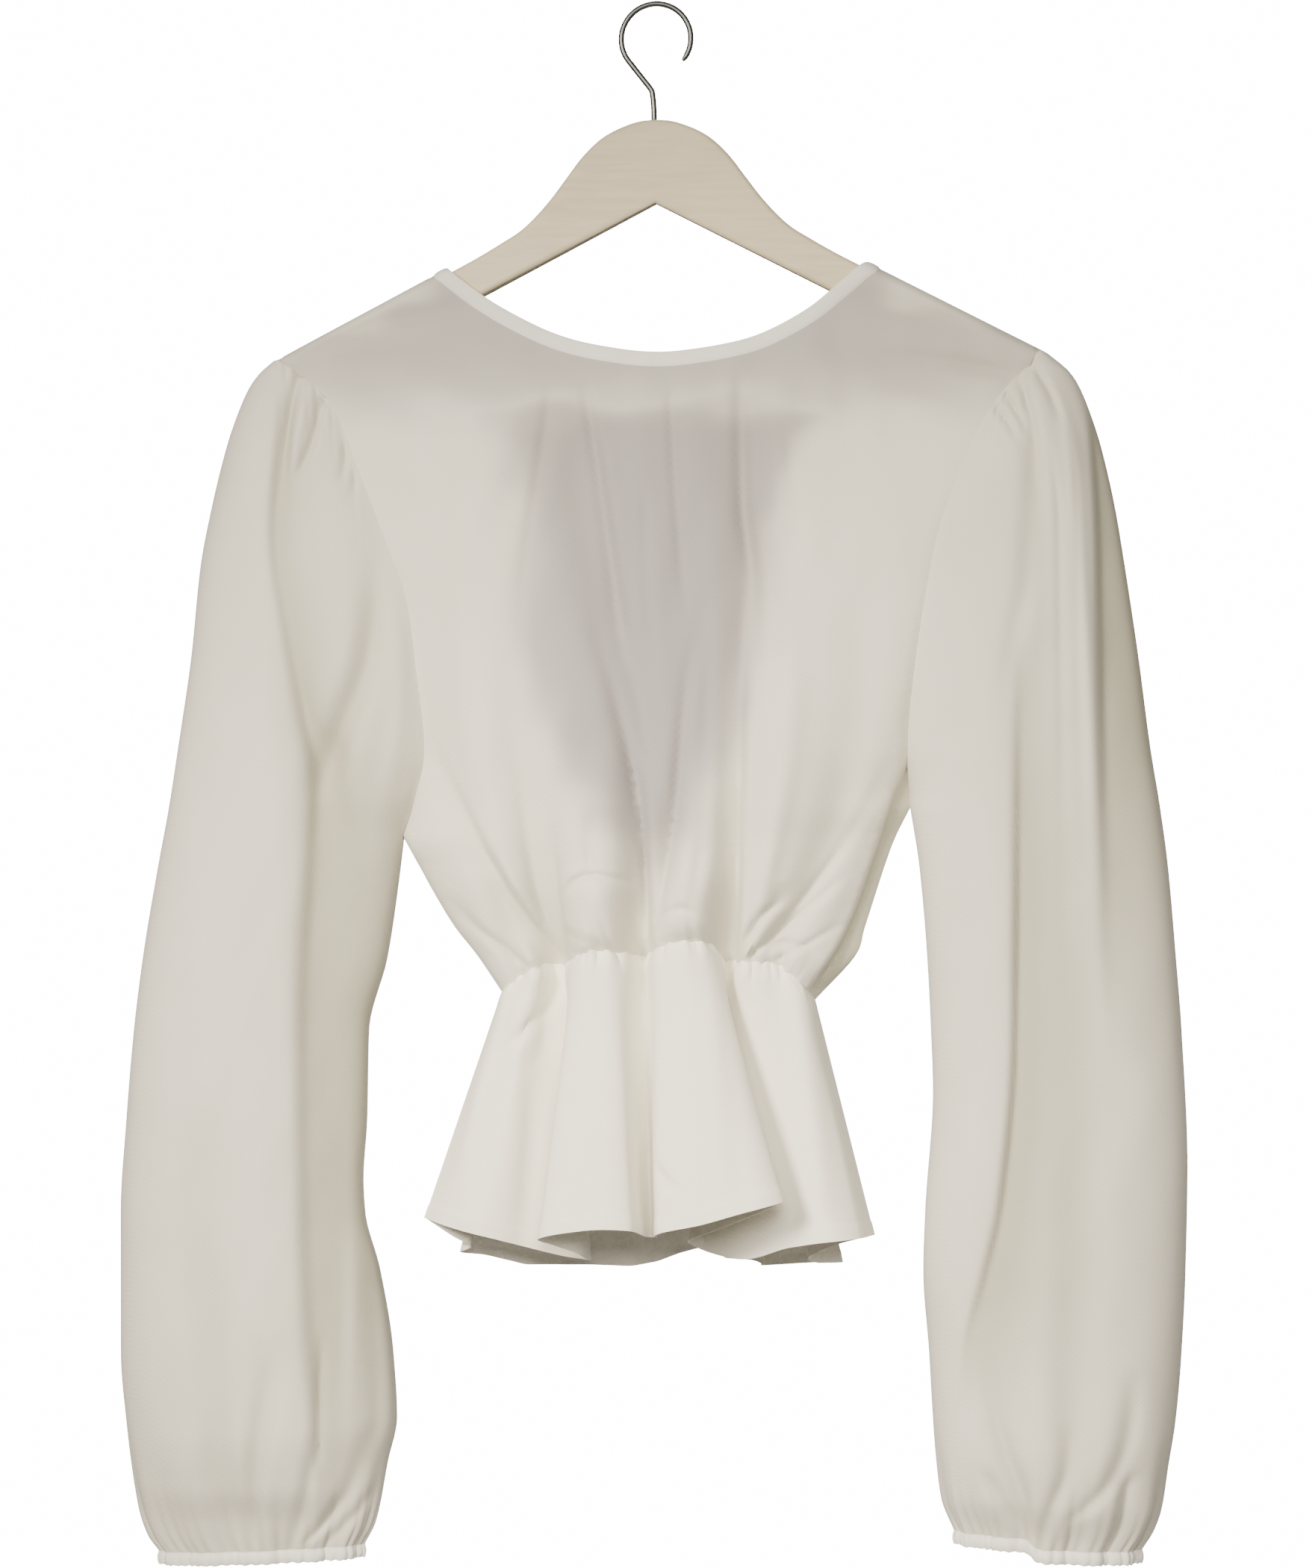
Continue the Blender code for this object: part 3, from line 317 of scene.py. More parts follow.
# Painted shade where the front hangs in one layer, and how the band and the board behind lessen it
SINGLE_LAYER_SHADE = (0.345, 0.325, 0.325)
BAND_HIDES = 0.18
BAND_DROP = 205.0
BAND_HALF = 6.5
NECK_SHADE_TO = 208.0
NECK_SHADE_SOFT = 13.0
BOARD_SHOWS_FROM = 120.0
BOARD_SHOWS_TO = 156.0
BOARD_SHOWS_SLOPE = 0.27
BOARD_SHOWS_SOFT = (8.0, 4.0)
BOARD_LIGHTENS = 0.8
# Painted shade under the neck edge: distance from the middle, share
NECK_SHADE = [(0, 0.8), (90, 0.8), (125, 0.75), (160, 0.7), (200, 0.5)]
# Painted shade of the open back's V where it shows through the front: drop, left, right,
# softness of its edge, strength
OPEN_BACK_SHADE = [(190, -84, 90, 16, 0), (208, -84, 90, 16, 0.6), (217, -82, 87, 14, 0.9), (228, -77, 80, 12, 1),
             (246, -71, 70, 10, 1), (280, -65, 60, 10, 1), (335, -62, 55, 11, 1), (380, -48, 42, 11, 1),
             (425, -22, 20, 10, 1), (456, -6, 4, 8, 1), (476, -2, 0, 6, 0)]
# Painted shade that darkens the cloth in its folds: the share of its dark colour that is left, the
# depth that is wholly dark, the share and the depth of a main fold that count, and what steps and drag lines
# add
FOLD_SHADE_TONE = (0.68, 0.69, 0.62)
FULL_SHADE = 18.0
FOLD_SHADE = 0.35
FOLD_SHADE_TO = 12.0
STEP_SHADE = 0.1
SIDE_SHADE = 0.22
DRAG_SHADE = 2.2
# Lines of the mesh along the side's step: distances beside it, drops, points
STEP_LINES = (-1.4, 0.0, 1.4)
STEP_FROM = 392.0
STEP_TO = 508.0
STEP_POINTS = 66
# How squarely the bodice rounds off towards its sides, as two powers
CROWN_FULL = 2.6
CROWN_SQUARE = 0.62
SHOULDER_ROLL = 6.0
DEEPEST_FOLD = 10.0
FOLD_LIMIT = 0.85
FOLDS_HIDDEN = 12.0
DRAG_FROM = 2.0
DRAG_FULL = 5.0
NECK_BAND = 7.5
NECK_SEWN_HALF = NECK_HALF + 0.9 * NECK_BAND
NECK_STEPS = 110
SHOULDER_STEPS = 36
ARMHOLE_STEPS = 98
SIDE_STEPS = 42
WAIST_STEPS = 240
WAIST_BULGE = 2.6
RUFFLE = 0.9
PANEL_STEP = 2.8
PANEL_STEP_WAIST = 1.7
EDGE_CLEAR = 0.55
LINE_CLEAR = 0.6
WAIST_FROM = 440.0
WAIST_BULGE_REACH = 10.0
WAIST_FINE = 1600
NEAR_SEAM = 14.0
NEAR_EDGE = 8.0
FLATTEST_SIDE = 0.62
GATHERS = {"count": 34, "reaches": (5.0, 22.0)}
# Faint billows of all the cloth: how many, how wide, how tall, how far they lean
WAVES = 9
WAVE_WIDE = (22, 60)
WAVE_TALL = (70, 200)
WAVE_LEAN = (-0.3, 0.3)
# Drops of the mesh's lines under the shoulder seam, how they slant, and how far points keep off them
ROLL_DROPS = (0.35, 1.0, 2.0, 3.4, 5.0, 7.0, 9.4)
ROLL_SLANT = 0.2
ROLL_CLEAR = 0.6
NECK_CLEAR = 0.3
ROLL_MARGIN = 3.0
UNDERARM = {-1: 433.0, 1: 417.0}
# Edges by side, from the shoulder point to the waist: drop, across, depth
BODY_EDGE = {
    -1: [(182, -200, 9), (190, -189, 9), (208, -169, 14), (232, -158, 19), (282, -138, 23), (309, -128, 24),
         (348, -123, 22), (387, -120, 16), (410, -125, 9), (433, -134, 0), (449, -125, 0), (465, -116, 0),
         (481, -106, 0), (496, -94, 0), (515, -81, 0)],
    1: [(182, 200, 9), (192, 193, 9), (203, 182, 12), (226, 168, 19), (272, 150, 23), (310, 142, 24),
        (349, 136, 21), (387, 132, 12), (417, 133, 0), (433, 125, 0), (449, 119, 0), (480, 109, 0),
        (495, 104, 0), (518, 83, 0)],
}
# The middle's distance from the board's plane: drop, depth
FRONT_DEPTH = [(135, 9), (155, 10), (182, 15), (208, 21), (250, 28), (310, 36), (390, 42), (450, 39),
               (490, 31), (518, 27)]
# Neck edge and waist seam, from left to right: across, drop
FRONT_NECK = [(-110, 135.5), (-94, 148), (-77, 159), (-53, 171), (-29, 178), (2, 182), (33, 179), (56, 173),
              (79, 161), (94, 149), (110, 135.5)]
FRONT_WAIST = [(-81, 515), (-69, 506), (-55, 500), (-49, 501), (-42, 497), (-27, 492), (-12, 494),
               (-6, 496), (2, 492), (17, 487), (30, 488), (37, 498), (46, 498), (60, 498), (74, 506),
               (83, 518)]
# Folds, each from its upper end down: drop, across, half width, depth
FRONT_FOLDS = {
    "left": [(215, -60, 18, 0), (310, -68, 18, 4), (389, -62, 15, 7), (460, -54, 12, 13),
             (503, -49, 9, 25)],
    "left_long": [(300, -118, 14, 0), (380, -114, 12, 4), (436, -92, 10, 6), (478, -68, 8, 9),
                  (503, -54, 5, 4)],
    "centre_left": [(200, -33, 18, 0), (240, -32, 18, 5), (305, -20, 16, 8), (389, -4, 12, 11),
                    (450, -6, 10, 14), (500, -6, 8, 25)],
    "centre_right": [(200, 8, 16, 0), (296, 19, 16, 5), (378, 20, 13, 8), (447, 8, 9, 9), (485, -2, 7, 0)],
    "right": [(200, 42, 14, 0), (240, 48, 14, 6), (307, 50, 13, 9), (378, 43, 11, 11), (448, 43, 9, 15),
              (503, 37, 8, 26)],
    "right_long": [(280, 112, 14, 0), (396, 103, 13, 5), (452, 86, 11, 7), (496, 56, 6, 5)],
    "right_side": [(385, 131, 6, 0), (420, 118, 7, 2), (465, 103, 8, 2), (500, 91, 7, 0)],
    "left_waist": [(455, -84, 10, 0), (490, -73, 7, 6), (512, -68, 5, 5)],
    "right_waist": [(470, 78, 8, 0), (498, 66, 6, 7), (515, 64, 5, 6)],
}
# Creases and the small ridges between them, with the same columns
FRONT_CREASES = {
    "low_left": [(462, -108, 6, 0), (476, -97, 5, 4), (489, -81, 4.2, 5), (501, -66, 3.2, 3)],
    "left_line": [(372, -119, 5, 0), (412, -101, 3.2, 2.6), (449, -81, 2.8, 3.4), (479, -62, 2.6, 3.6),
                  (503, -47, 2.2, 2)],
    "left_line_ridge": [(380, -110, 5, 0), (412, -95, 4, -1.8), (449, -75, 3.2, -2.6), (479, -57, 3, -2.2),
                        (500, -45, 2, 0)],
    "left_inner": [(367, -73, 5, 0), (408, -67, 3.4, 1.8), (442, -63, 3, 2.6), (476, -57, 2.6, 3),
                   (502, -45, 2.2, 2)],
    "puff_edge": [(423, -50, 4, 0), (440, -49, 2.8, 1.8), (461, -48, 2.4, 3.2), (490, -46, 2.2, 2.4),
                  (500, -45, 2, 0)],
    "puff_belly": [(448, -29, 12, 0), (466, -28, 11, -4.5), (484, -28, 11, -4.5), (494, -29, 9, 0)],
    "puff_rise": [(415, -27, 3.4, 0), (430, -30, 2.6, 1.6), (443, -30, 2.4, 2), (453, -28, 2.4, 0)],
    "v_left_line": [(300, -36, 6, 0), (367, -16, 3.4, 2), (408, -7, 2.8, 3), (442, -3, 2.4, 3.4),
                    (479, -2, 2.2, 3), (498, 0, 2, 0)],
    "v_left_ridge": [(330, -18, 6, 0), (378, -7, 4, -1.8), (420, 2, 3.4, -2.8), (455, 3, 3, -2.4),
                     (490, 4, 2.4, 0)],
    "v_right_line": [(300, 30, 6, 0), (367, 18.5, 3.2, 2.4), (416, 14, 2.8, 3), (457, 8, 2.4, 2.6),
                     (490, 3, 2, 0)],
    "lobe_belly": [(440, 24, 12, 0), (462, 22, 11, -4), (478, 20, 10, -4), (488, 20, 8, 0)],
    "right_line": [(250, 52, 6, 0), (310, 49, 3.6, 1.6), (367, 47.8, 3, 2.6), (434, 46, 2.6, 3.6),
                   (479, 44, 2.4, 3), (503, 41, 2, 0)],
    "right_line_ridge": [(280, 58, 7, 0), (367, 54.5, 4, -2.2), (423, 51.5, 3.4, -3), (472, 49, 3, -2.6),
                         (494, 46, 2, 0)],
    "right_wedge": [(456, 70, 5, 0), (466, 66, 4, 3), (472, 60, 3.6, 4.6), (483, 52, 2.8, 5),
                    (500, 44, 2.2, 2)],
    "right_fan": [(450, 100, 5, 0), (459, 93, 3.6, 2), (479, 70, 2.8, 3.4), (498, 48, 2.2, 2)],
    "right_long_line": [(365, 133, 5, 0), (416, 112, 3.4, 2.2), (461, 82, 3, 3), (494, 52, 2.4, 2)],
    "right_low": [(476, 98, 4, 0), (484, 88, 3.4, 2.6), (493, 72, 2.8, 2.6), (500, 58, 2.4, 1.4)],
    "left_ridge": [(330, -86, 8, 0), (400, -84, 7, -2.4), (450, -72, 5, -2.4), (490, -60, 4, 0)],
    "right_ridge": [(300, 76, 8, 0), (380, 74, 7, -3), (440, 64, 5, -3.4), (484, 54, 4, 0)],
    "left_fine": [(240, -100, 7, 0), (330, -104, 6, 2), (400, -99, 5, 2.4), (450, -86, 3, 0)],
    "chest_far_left": [(197, -53, 3.4, 0), (212, -54, 3.2, 2.4), (245, -58, 3.6, 3), (306, -65, 4.4, 2),
                       (350, -66, 5, 0)],
    "chest_left": [(195, -36, 2.6, 0), (206, -34, 2.4, 2), (247, -27, 2.8, 3), (306, -18, 3.4, 3),
                   (350, -12, 4, 0)],
    "chest_left_ridge": [(200, -28, 4, 0), (247, -20, 4.4, -1.8), (306, -10, 4.8, -1.8), (350, -4, 4, 0)],
    "chest_middle": [(198, 10, 2.4, 0), (210, 10.5, 2.2, 2.2), (235, 12, 2.4, 2.6), (283, 16, 3, 2.2),
                     (330, 21, 4, 0)],
    "chest_fine": [(250, -3, 2.4, 0), (272, -2, 2.4, 1.6), (310, 0, 3, 1.2), (350, 4, 3.4, 0)],
    "chest_right": [(190, 45, 4, 0), (206, 46, 4, 3.2), (262, 47.5, 3.6, 4), (306, 54, 4, 3.2),
                    (370, 56, 5, 0)],
    "chest_right_ridge": [(200, 54, 4, 0), (262, 56, 4.4, -1.8), (306, 63, 5, -1.8), (370, 64, 5, 0)],
    "chest_far_right": [(222, 71, 3, 0), (236, 72, 3, 1.8), (262, 75, 4, 1.4), (290, 78, 5, 0)],
    "centre_fine": [(300, 28, 5, 0), (350, 30, 4.5, 2.6), (440, 27, 4, 2.6), (476, 22, 3, 0)],
}
# Line on the right where the front's edge lies over the part that turns to the back: drop, across,
# half width, depth, reach
SIDE_OVERLAP = [(384, 135, 1.6, 0, 90), (398, 130, 1.2, 5, 90), (411, 125, 1, 8, 90), (430, 119, 1, 9, 90),
                (452, 111.6, 1, 9, 90), (472, 104.4, 1, 9, 90), (490, 96, 1, 9, 90), (503, 87.5, 1, 8, 90),
                (514, 79.5, 1, 3, 90)]
# Creases that run across: across, drop, half width, depth
FRONT_DRAGS = {
    "left_upper": [(-188, 182, 3, 0), (-170, 173, 3.5, 1.6), (-149, 165.8, 4.2, 2.2), (-120, 160, 5, 1.9),
                   (-96, 157, 6, 1.1), (-80, 156, 6, 0)],
    "left_lower": [(-174, 186, 4, 0), (-150, 184, 5, 1.5), (-120, 183, 7, 1.5), (-92, 181, 8, 0)],
    "right_upper": [(95, 152, 6, 0), (116, 156, 6, 1.8), (155, 167, 4.6, 2), (172, 170.5, 3.5, 1),
                    (180, 173, 3, 0)],
    "right_lower": [(80, 182, 9, 0), (97, 184, 8, 1.6), (146, 188, 5, 2.6), (170, 191.5, 4, 3.2),
                    (184, 195, 3, 1.8), (191, 197, 3, 0)],
    "puff_top": [(-46, 464, 3, 0), (-39, 456.5, 2.4, 3), (-29, 453, 2.2, 3.4), (-16, 455, 2.6, 2),
                 (-6, 457, 3, 0)],
    "puff_shade": [(-47, 482, 3, 0), (-40, 484, 3, 1.6), (-30, 487, 3, 1.4), (-20, 488, 3, 0)],
    "lobe_top": [(2, 478, 2.6, 0), (10, 472, 2.4, 1.8), (18, 470, 2.4, 2), (28, 474, 2.6, 0)],
    "right_pucker": [(58, 492, 2, 0), (66, 488, 2, 1.8), (78, 489, 2.4, 1.8), (88, 494, 2.6, 0)],
}


def place(across, depth, drop):
    """Points in metres from their three sizes in millimetres."""
    return np.stack(np.broadcast_arrays(np.asarray(across) * MM, np.asarray(depth) * MM,
                                        np.asarray(drop) * -MM), axis=-1).astype(float)


def read(rows, at):
    """The other columns of a table at places in its first, eased from row to row."""
    rows = np.array(rows, float)
    keys, values = rows[:, 0], rows[:, 1:]
    steps = np.diff(values, axis=0) / np.diff(keys)[:, None]
    both = steps[:-1] * steps[1:]
    total = np.where(both > 0, steps[:-1] + steps[1:], 1.0)
    slopes = np.vstack([steps[:1], np.where(both > 0, 2 * both / total, 0.0), steps[-1:]])
    at = np.clip(np.asarray(at, float), keys[0], keys[-1])
    row = np.clip(np.searchsorted(keys, at, side="right") - 1, 0, len(keys) - 2)
    width = (keys[row + 1] - keys[row])[..., None]
    t = (at[..., None] - keys[row][..., None]) / width
    return ((2 * t**3 - 3 * t**2 + 1) * values[row] + (t**3 - 2 * t**2 + t) * slopes[row] * width
            + (3 * t**2 - 2 * t**3) * values[row + 1] + (t**3 - t**2) * slopes[row + 1] * width)


def ramp(at, reach):
    """0 up to the start, 1 from the reach on, and straight between."""
    return np.clip(at / reach, 0.0, 1.0)


def soft_step(beyond, softness):
    """0 before an edge and 1 beyond it, with a soft change between."""
    return 0.5 + 0.5 * np.tanh(beyond / softness)


def unit(vectors):
    """Vectors brought to a length of one."""
    return vectors / np.maximum(np.linalg.norm(vectors, axis=-1, keepdims=True), 1e-15)


def across_and_drop(points):
    """Where points in metres lie on the front, in millimetres."""
    return points[..., 0] / MM, -points[..., 2] / MM


def even_points(line, steps):
    """Points at even distances along a polyline, both ends included."""
    line = np.asarray(line, float)
    lengths = np.concatenate([[0.0], np.cumsum(np.linalg.norm(np.diff(line, axis=0), axis=1))])
    at = np.linspace(0, lengths[-1], steps + 1)
    return np.stack([np.interp(at, lengths, line[:, k]) for k in range(line.shape[1])], axis=1)


def fold_depth(folds, along_it, beside_it):
    """How deep a group of folds pushes the cloth in at each point."""
    total = np.zeros(np.shape(along_it))
    for rows in folds.values():
        line = read(rows, along_it)
        push = line[..., 2] * np.exp(-((beside_it - line[..., 0]) / line[..., 1]) ** 2)
        total = total + np.where(along_it > rows[0][0], push, 0.0)
    return total


def over_shoulder(across, drop):
    """0 on the shoulder seam, growing to 1 where the cloth has rolled over the board's edge."""
    below = ramp(drop - shoulder_drop(across), SHOULDER_ROLL)
    return np.sqrt(1 - (1 - below) ** 2)


def body_depth(across, drop, middle_depths):
    """Distance of the bodice from the board's plane, without its folds."""
    left, right = read(BODY_EDGE[-1], drop), read(BODY_EDGE[1], drop)
    share = np.clip((across - left[..., 0]) / (right[..., 0] - left[..., 0]), 0.0, 1.0)
    edge = left[..., 1] + (right[..., 1] - left[..., 1]) * share
    crown = (1 - np.abs(2 * share - 1) ** CROWN_FULL) ** CROWN_SQUARE
    middle = read(middle_depths, drop)[..., 0]
    return (edge + (middle - edge) * crown) * over_shoulder(across, drop), crown, share


def off_seams(depth, across, drop):
    """0 at the sides and the shoulder seam, growing to 1 over the open cloth."""
    return ramp(depth, NEAR_EDGE) * ramp(drop - shoulder_drop(across), NEAR_SEAM)


def soft_waves(across, drop, seed, height):
    """Faint uneven billows, longer down the cloth than across it."""
    chance = np.random.default_rng(seed)
    total = 0.0
    for _ in range(WAVES):
        wide, tall = chance.uniform(*WAVE_WIDE), chance.uniform(*WAVE_TALL)
        lean, start = chance.uniform(*WAVE_LEAN), chance.uniform(0, 2 * math.pi)
        beside = np.sin(2 * math.pi * (across + lean * drop) / wide + start)
        total = total + beside * np.cos(2 * math.pi * drop / tall + 1.7 * start)
    return total * height / math.sqrt(WAVES)


def overlap(rows, along_it, beside_it):
    """A step down to the right of a line, which rises again over the reach in the last column."""
    line = read(rows, along_it)
    beyond = beside_it - line[..., 0]
    rises = np.exp(-np.maximum(beyond, 0.0) / line[..., 3])
    return line[..., 2] * soft_step(beyond, line[..., 1]) * rises


def bulge(far, height, reach):
    """Fullness that swells out from a gathered seam, most at the reach, and dies away beyond it."""
    far = np.maximum(far, 0.0) / reach
    return height * far * np.exp(1.0 - far)


def fan(share, above, seed, count, depths, reaches):
    """Short creases that fan out from a gathered seam and die away at different heights."""
    chance = np.random.default_rng(seed)
    total = 0.0
    for k in range(count):
        middle = (k + 0.5 + chance.uniform(-0.3, 0.3)) / count
        width = chance.uniform(0.22, 0.36) / count
        depth, reach = chance.uniform(*depths), chance.uniform(*reaches)
        dies = np.exp(-(np.maximum(above, 0) / reach) ** 1.5)
        total = total + depth * np.exp(-((share - middle) / width) ** 2) * dies
    return total


def front_depth(across, drop):
    """Depth of the front at each point, folds, creases and gathers included."""
    depth, crown, share = body_depth(across, drop, FRONT_DEPTH)
    behind = np.minimum(overlap(SIDE_OVERLAP, drop, across), FLATTEST_SIDE * depth)
    deepest = FOLD_LIMIT * depth + DEEPEST_FOLD * crown**3
    folds = np.minimum(fold_depth(FRONT_FOLDS, drop, across), deepest)
    above = read(FRONT_WAIST, across)[..., 0] - drop
    fine = fold_depth(FRONT_CREASES, drop, across) + soft_waves(across, drop, seed=3, height=0.5)
    gathers = fan(share, above, seed=11, depths=(0.8, 2.8), **GATHERS)
    gathers = gathers - bulge(above, WAIST_BULGE, WAIST_BULGE_REACH)
    fine = (fine + gathers) * crown * off_seams(depth, across, drop)
    drag = fold_depth(FRONT_DRAGS, across, drop)
    drag = drag * ramp(drop - shoulder_drop(across) - DRAG_FROM, DRAG_FULL)
    return -depth + behind + folds * (1 - behind / FOLDS_HIDDEN) + fine + drag


def front_shade(points):
    """Painted shade of the front, from 0 to 1: how far each point lies down in a fold or behind its side
    edge.
    """
    across, drop = across_and_drop(points)
    pushed = FOLD_SHADE * np.minimum(fold_depth(FRONT_FOLDS, drop, across), FOLD_SHADE_TO)
    pushed = pushed + fold_depth(FRONT_CREASES, drop, across)
    pushed = pushed + DRAG_SHADE * fold_depth(FRONT_DRAGS, across, drop)
    return pushed / FULL_SHADE + SIDE_SHADE * overlap(SIDE_OVERLAP, drop, across)


def shoulder_seam(side):
    """Shoulder seam from the shoulder point to the neck band."""
    across = side * np.linspace(SHOULDER_HALF, NECK_SEWN_HALF, SHOULDER_STEPS + 1)
    return place(across, 0.0, shoulder_drop(across))


def side_seam(side):
    """Side seam from the waist up to the underarm."""
    line = [(x, d) for d, x, _ in reversed(BODY_EDGE[side]) if d >= UNDERARM[side]]
    line = even_points(smooth_line(line), SIDE_STEPS)
    return place(line[:, 0], 0.0, line[:, 1])


def armhole_seam(side, face):
    """Armhole seam from the underarm up to the shoulder point, on the front or on the back."""
    line = [(x, d) for d, x, _ in reversed(BODY_EDGE[side]) if d <= UNDERARM[side]]
    line = even_points(smooth_line(line), ARMHOLE_STEPS)
    table = read(BODY_EDGE[side], line[:, 1])
    seam = place(line[:, 0], face * table[:, 1] * over_shoulder(table[:, 0], line[:, 1]), line[:, 1])
    seam[0, 1] = 0.0
    seam[-1] = shoulder_seam(side)[0]
    return seam


def waist_seam(rows, depth_at):
    """Waist seam from left to right with its small uneven ruffle, evenly spaced along its folds."""
    across = np.linspace(rows[0][0], rows[-1][0], WAIST_FINE)
    inside = ramp(across - across[0], NEAR_EDGE) * ramp(across[-1] - across, NEAR_EDGE)
    ruffle = np.sin(across * 0.9 + 1.3 * np.sin(across / 9)) + 0.7 * np.sin(across * 1.55 + 0.8)
    drop = read(rows, across)[:, 0] + RUFFLE * ruffle * inside / 1.7
    seam = even_points(place(across, depth_at(across, drop), drop), WAIST_STEPS)
    seam[0, 1] = seam[-1, 1] = 0.0
    return seam


def neck_edges(rows, band, steps, depth_at):
    """The free edge of a neck band and the seam under it, from left to right."""
    line = even_points(smooth_line(rows), steps)
    along = unit(line[2:] - line[:-2])
    top = line[1:-1]
    low = top + np.stack([-along[:, 1], along[:, 0]], axis=1) * band
    edges = []
    for spots, inner in ((top, NECK_HALF), (low, NECK_SEWN_HALF)):
        keep = spots[spots[:, 1] > shoulder_drop(spots[:, 0]) + NECK_CLEAR]
        drops = np.array(ROLL_DROPS)
        left = np.stack([-inner + ROLL_SLANT * drops, shoulder_drop(inner) + drops], axis=1)
        left = left[left[:, 1] < keep[0, 1] - ROLL_CLEAR]
        whole = np.vstack([left, keep, left[::-1] * (-1, 1)])
        middle = even_points(place(whole[:, 0], depth_at(whole[:, 0], whole[:, 1]), whole[:, 1]), steps)
        across, drop = across_and_drop(middle)
        middle = place(across, depth_at(across, drop), drop)
        ends = place(np.array([-inner, inner]), 0.0, shoulder_drop(inner))
        edges.append(np.vstack([ends[:1], middle, ends[1:]]))
    return edges


def fill_panel(outline, depth_at, lines):
    """Points and triangles that fill a panel's outline and keep to the lines drawn inside it."""
    edge = outline[:, [0, 2]] / MM * (1, -1)
    ends = np.roll(edge, -1, axis=0)
    runs = ends - edge
    squares = (runs**2).sum(axis=1)
    placed = np.vstack(lines)
    # Rows of an even triangular grid, inside the outline and clear of its edge and of the lines
    spots, odd, drop = [], False, edge[:, 1].min()
    while drop < edge[:, 1].max():
        step = PANEL_STEP_WAIST if drop > WAIST_FROM else PANEL_STEP
        across = np.arange(edge[:, 0].min() + (step / 2 if odd else 0.0), edge[:, 0].max(), step)
        crosses = (edge[:, 1] > drop) != (ends[:, 1] > drop)
        hits = edge[crosses, 0] + (drop - edge[crosses, 1]) / runs[crosses, 1] * runs[crosses, 0]
        across = across[(hits[None] > across[:, None]).sum(axis=1) % 2 == 1]
        row = np.stack([across, np.full(len(across), drop)], axis=1)
        offset = row[:, None] - edge[None]
        along = np.clip((offset * runs).sum(axis=2) / squares, 0.0, 1.0)
        far = np.linalg.norm(offset - runs * along[..., None], axis=2).min(axis=1) if len(row) else across
        apart = np.linalg.norm(row[:, None] - placed[None], axis=2).min(axis=1) if len(row) else across
        spots.append(row[(far > EDGE_CLEAR * step) & (apart > LINE_CLEAR * step)])
        odd = not odd
        drop += step * math.sqrt(3) / 2
    # The outline and the lines are borders that the triangles keep to
    count = len(edge)
    flat = [Vector(spot) for spot in np.vstack([edge] + list(lines) + spots)]
    borders = [(k, (k + 1) % count) for k in range(count)]
    start = count
    for line in lines:
        borders += [(k, k + 1) for k in range(start, start + len(line) - 1)]
        start += len(line)
    found, _, triangles, sources, _, _ = delaunay_2d_cdt(flat, borders, [], 1, 1e-6)
    found = np.array([tuple(spot) for spot in found])
    points = place(found[:, 0], depth_at(found[:, 0], found[:, 1]), found[:, 1])
    for k, source in enumerate(sources):
        if source and source[0] < count:
            points[k] = outline[source[0]]
    return points, np.array([tuple(t) for t in triangles])


def roll_lines(side):
    """Lines close under the shoulder seam, where the cloth rolls over the board."""
    inner = NECK_HALF + NECK_BAND + ROLL_MARGIN
    across = side * np.linspace(SHOULDER_HALF - ROLL_MARGIN, inner, 2 * SHOULDER_STEPS)
    return [np.stack([across, shoulder_drop(across) + below], axis=1) for below in ROLL_DROPS]


def grid_faces(rows, columns):
    """Triangles of a grid whose points are listed row by row."""
    corner = (np.arange(rows - 1)[:, None] * columns + np.arange(columns - 1)[None]).reshape(-1)
    return np.vstack([np.stack([corner, corner + 1, corner + columns + 1], axis=1),
                      np.stack([corner, corner + columns + 1, corner + columns], axis=1)])


def store_share(mesh, name, share):
    """Keep a share from 0 to 1 at each point of a mesh, for its material."""
    mesh.attributes.new(name, "FLOAT", "POINT").data.foreach_set("value", share)


def sew_piece(name, points, faces, thickness, outward, shade=None):
    """A closed wall of cloth round a surface, standing back a hair at its seams and edges.

    shade is how far each point lies down in a fold, from 0 to 1, and sets the painted shade in the cloth's
    colour.
    """
    # Points within a ten-thousandth of a millimetre become one
    keys = np.round(points * 1e7).astype(np.int64)
    _, first, numbers = np.unique(keys, axis=0, return_index=True, return_inverse=True)
    shade = np.zeros(len(first)) if shade is None else np.clip(shade, 0.0, 1.0)[first]
    points, faces = points[first], numbers.reshape(-1)[faces]
    faces = faces[(faces[:, 0] != faces[:, 1]) & (faces[:, 1] != faces[:, 2]) & (faces[:, 2] != faces[:, 0])]
    flat = np.cross(points[faces[:, 1]] - points[faces[:, 0]], points[faces[:, 2]] - points[faces[:, 0]])
    if (flat * outward(points[faces].mean(axis=1))).sum() < 0:
        faces, flat = faces[:, ::-1], -flat
    normals = np.zeros_like(points)
    for k in range(3):
        np.add.at(normals, faces[:, k], flat)
    normals = unit(normals)
    count = len(points)
    edges = np.concatenate([faces[:, [0, 1]], faces[:, [1, 2]], faces[:, [2, 0]]])
    rim = edges[~np.isin(edges[:, 0] * count + edges[:, 1], edges[:, 1] * count + edges[:, 0])]
    inward = np.zeros_like(points)
    for k in (0, 1):
        step = np.cross(normals[rim[:, k]], points[rim[:, 1]] - points[rim[:, 0]])
        np.add.at(inward, rim[:, k], unit(step))
    middle = points + unit(inward) * SEAM_GAP / 2 * MM
    half = normals * thickness / 2 * MM
    shell = faces.tolist() + (faces[:, ::-1] + count).tolist()
    shell += np.stack([rim[:, 0], rim[:, 0] + count, rim[:, 1] + count, rim[:, 1]], axis=1).tolist()
    mesh = bpy.data.meshes.new(name)
    mesh.from_pydata(np.vstack([middle + half, middle - half]).tolist(), [], shell)
    store_share(mesh, "fold_shade", np.tile(shade, 2))
    mesh.shade_smooth()
    mesh.set_sharp_from_angle(angle=CLOTH_SHARP)
    return bpy.data.objects.new(name, mesh)


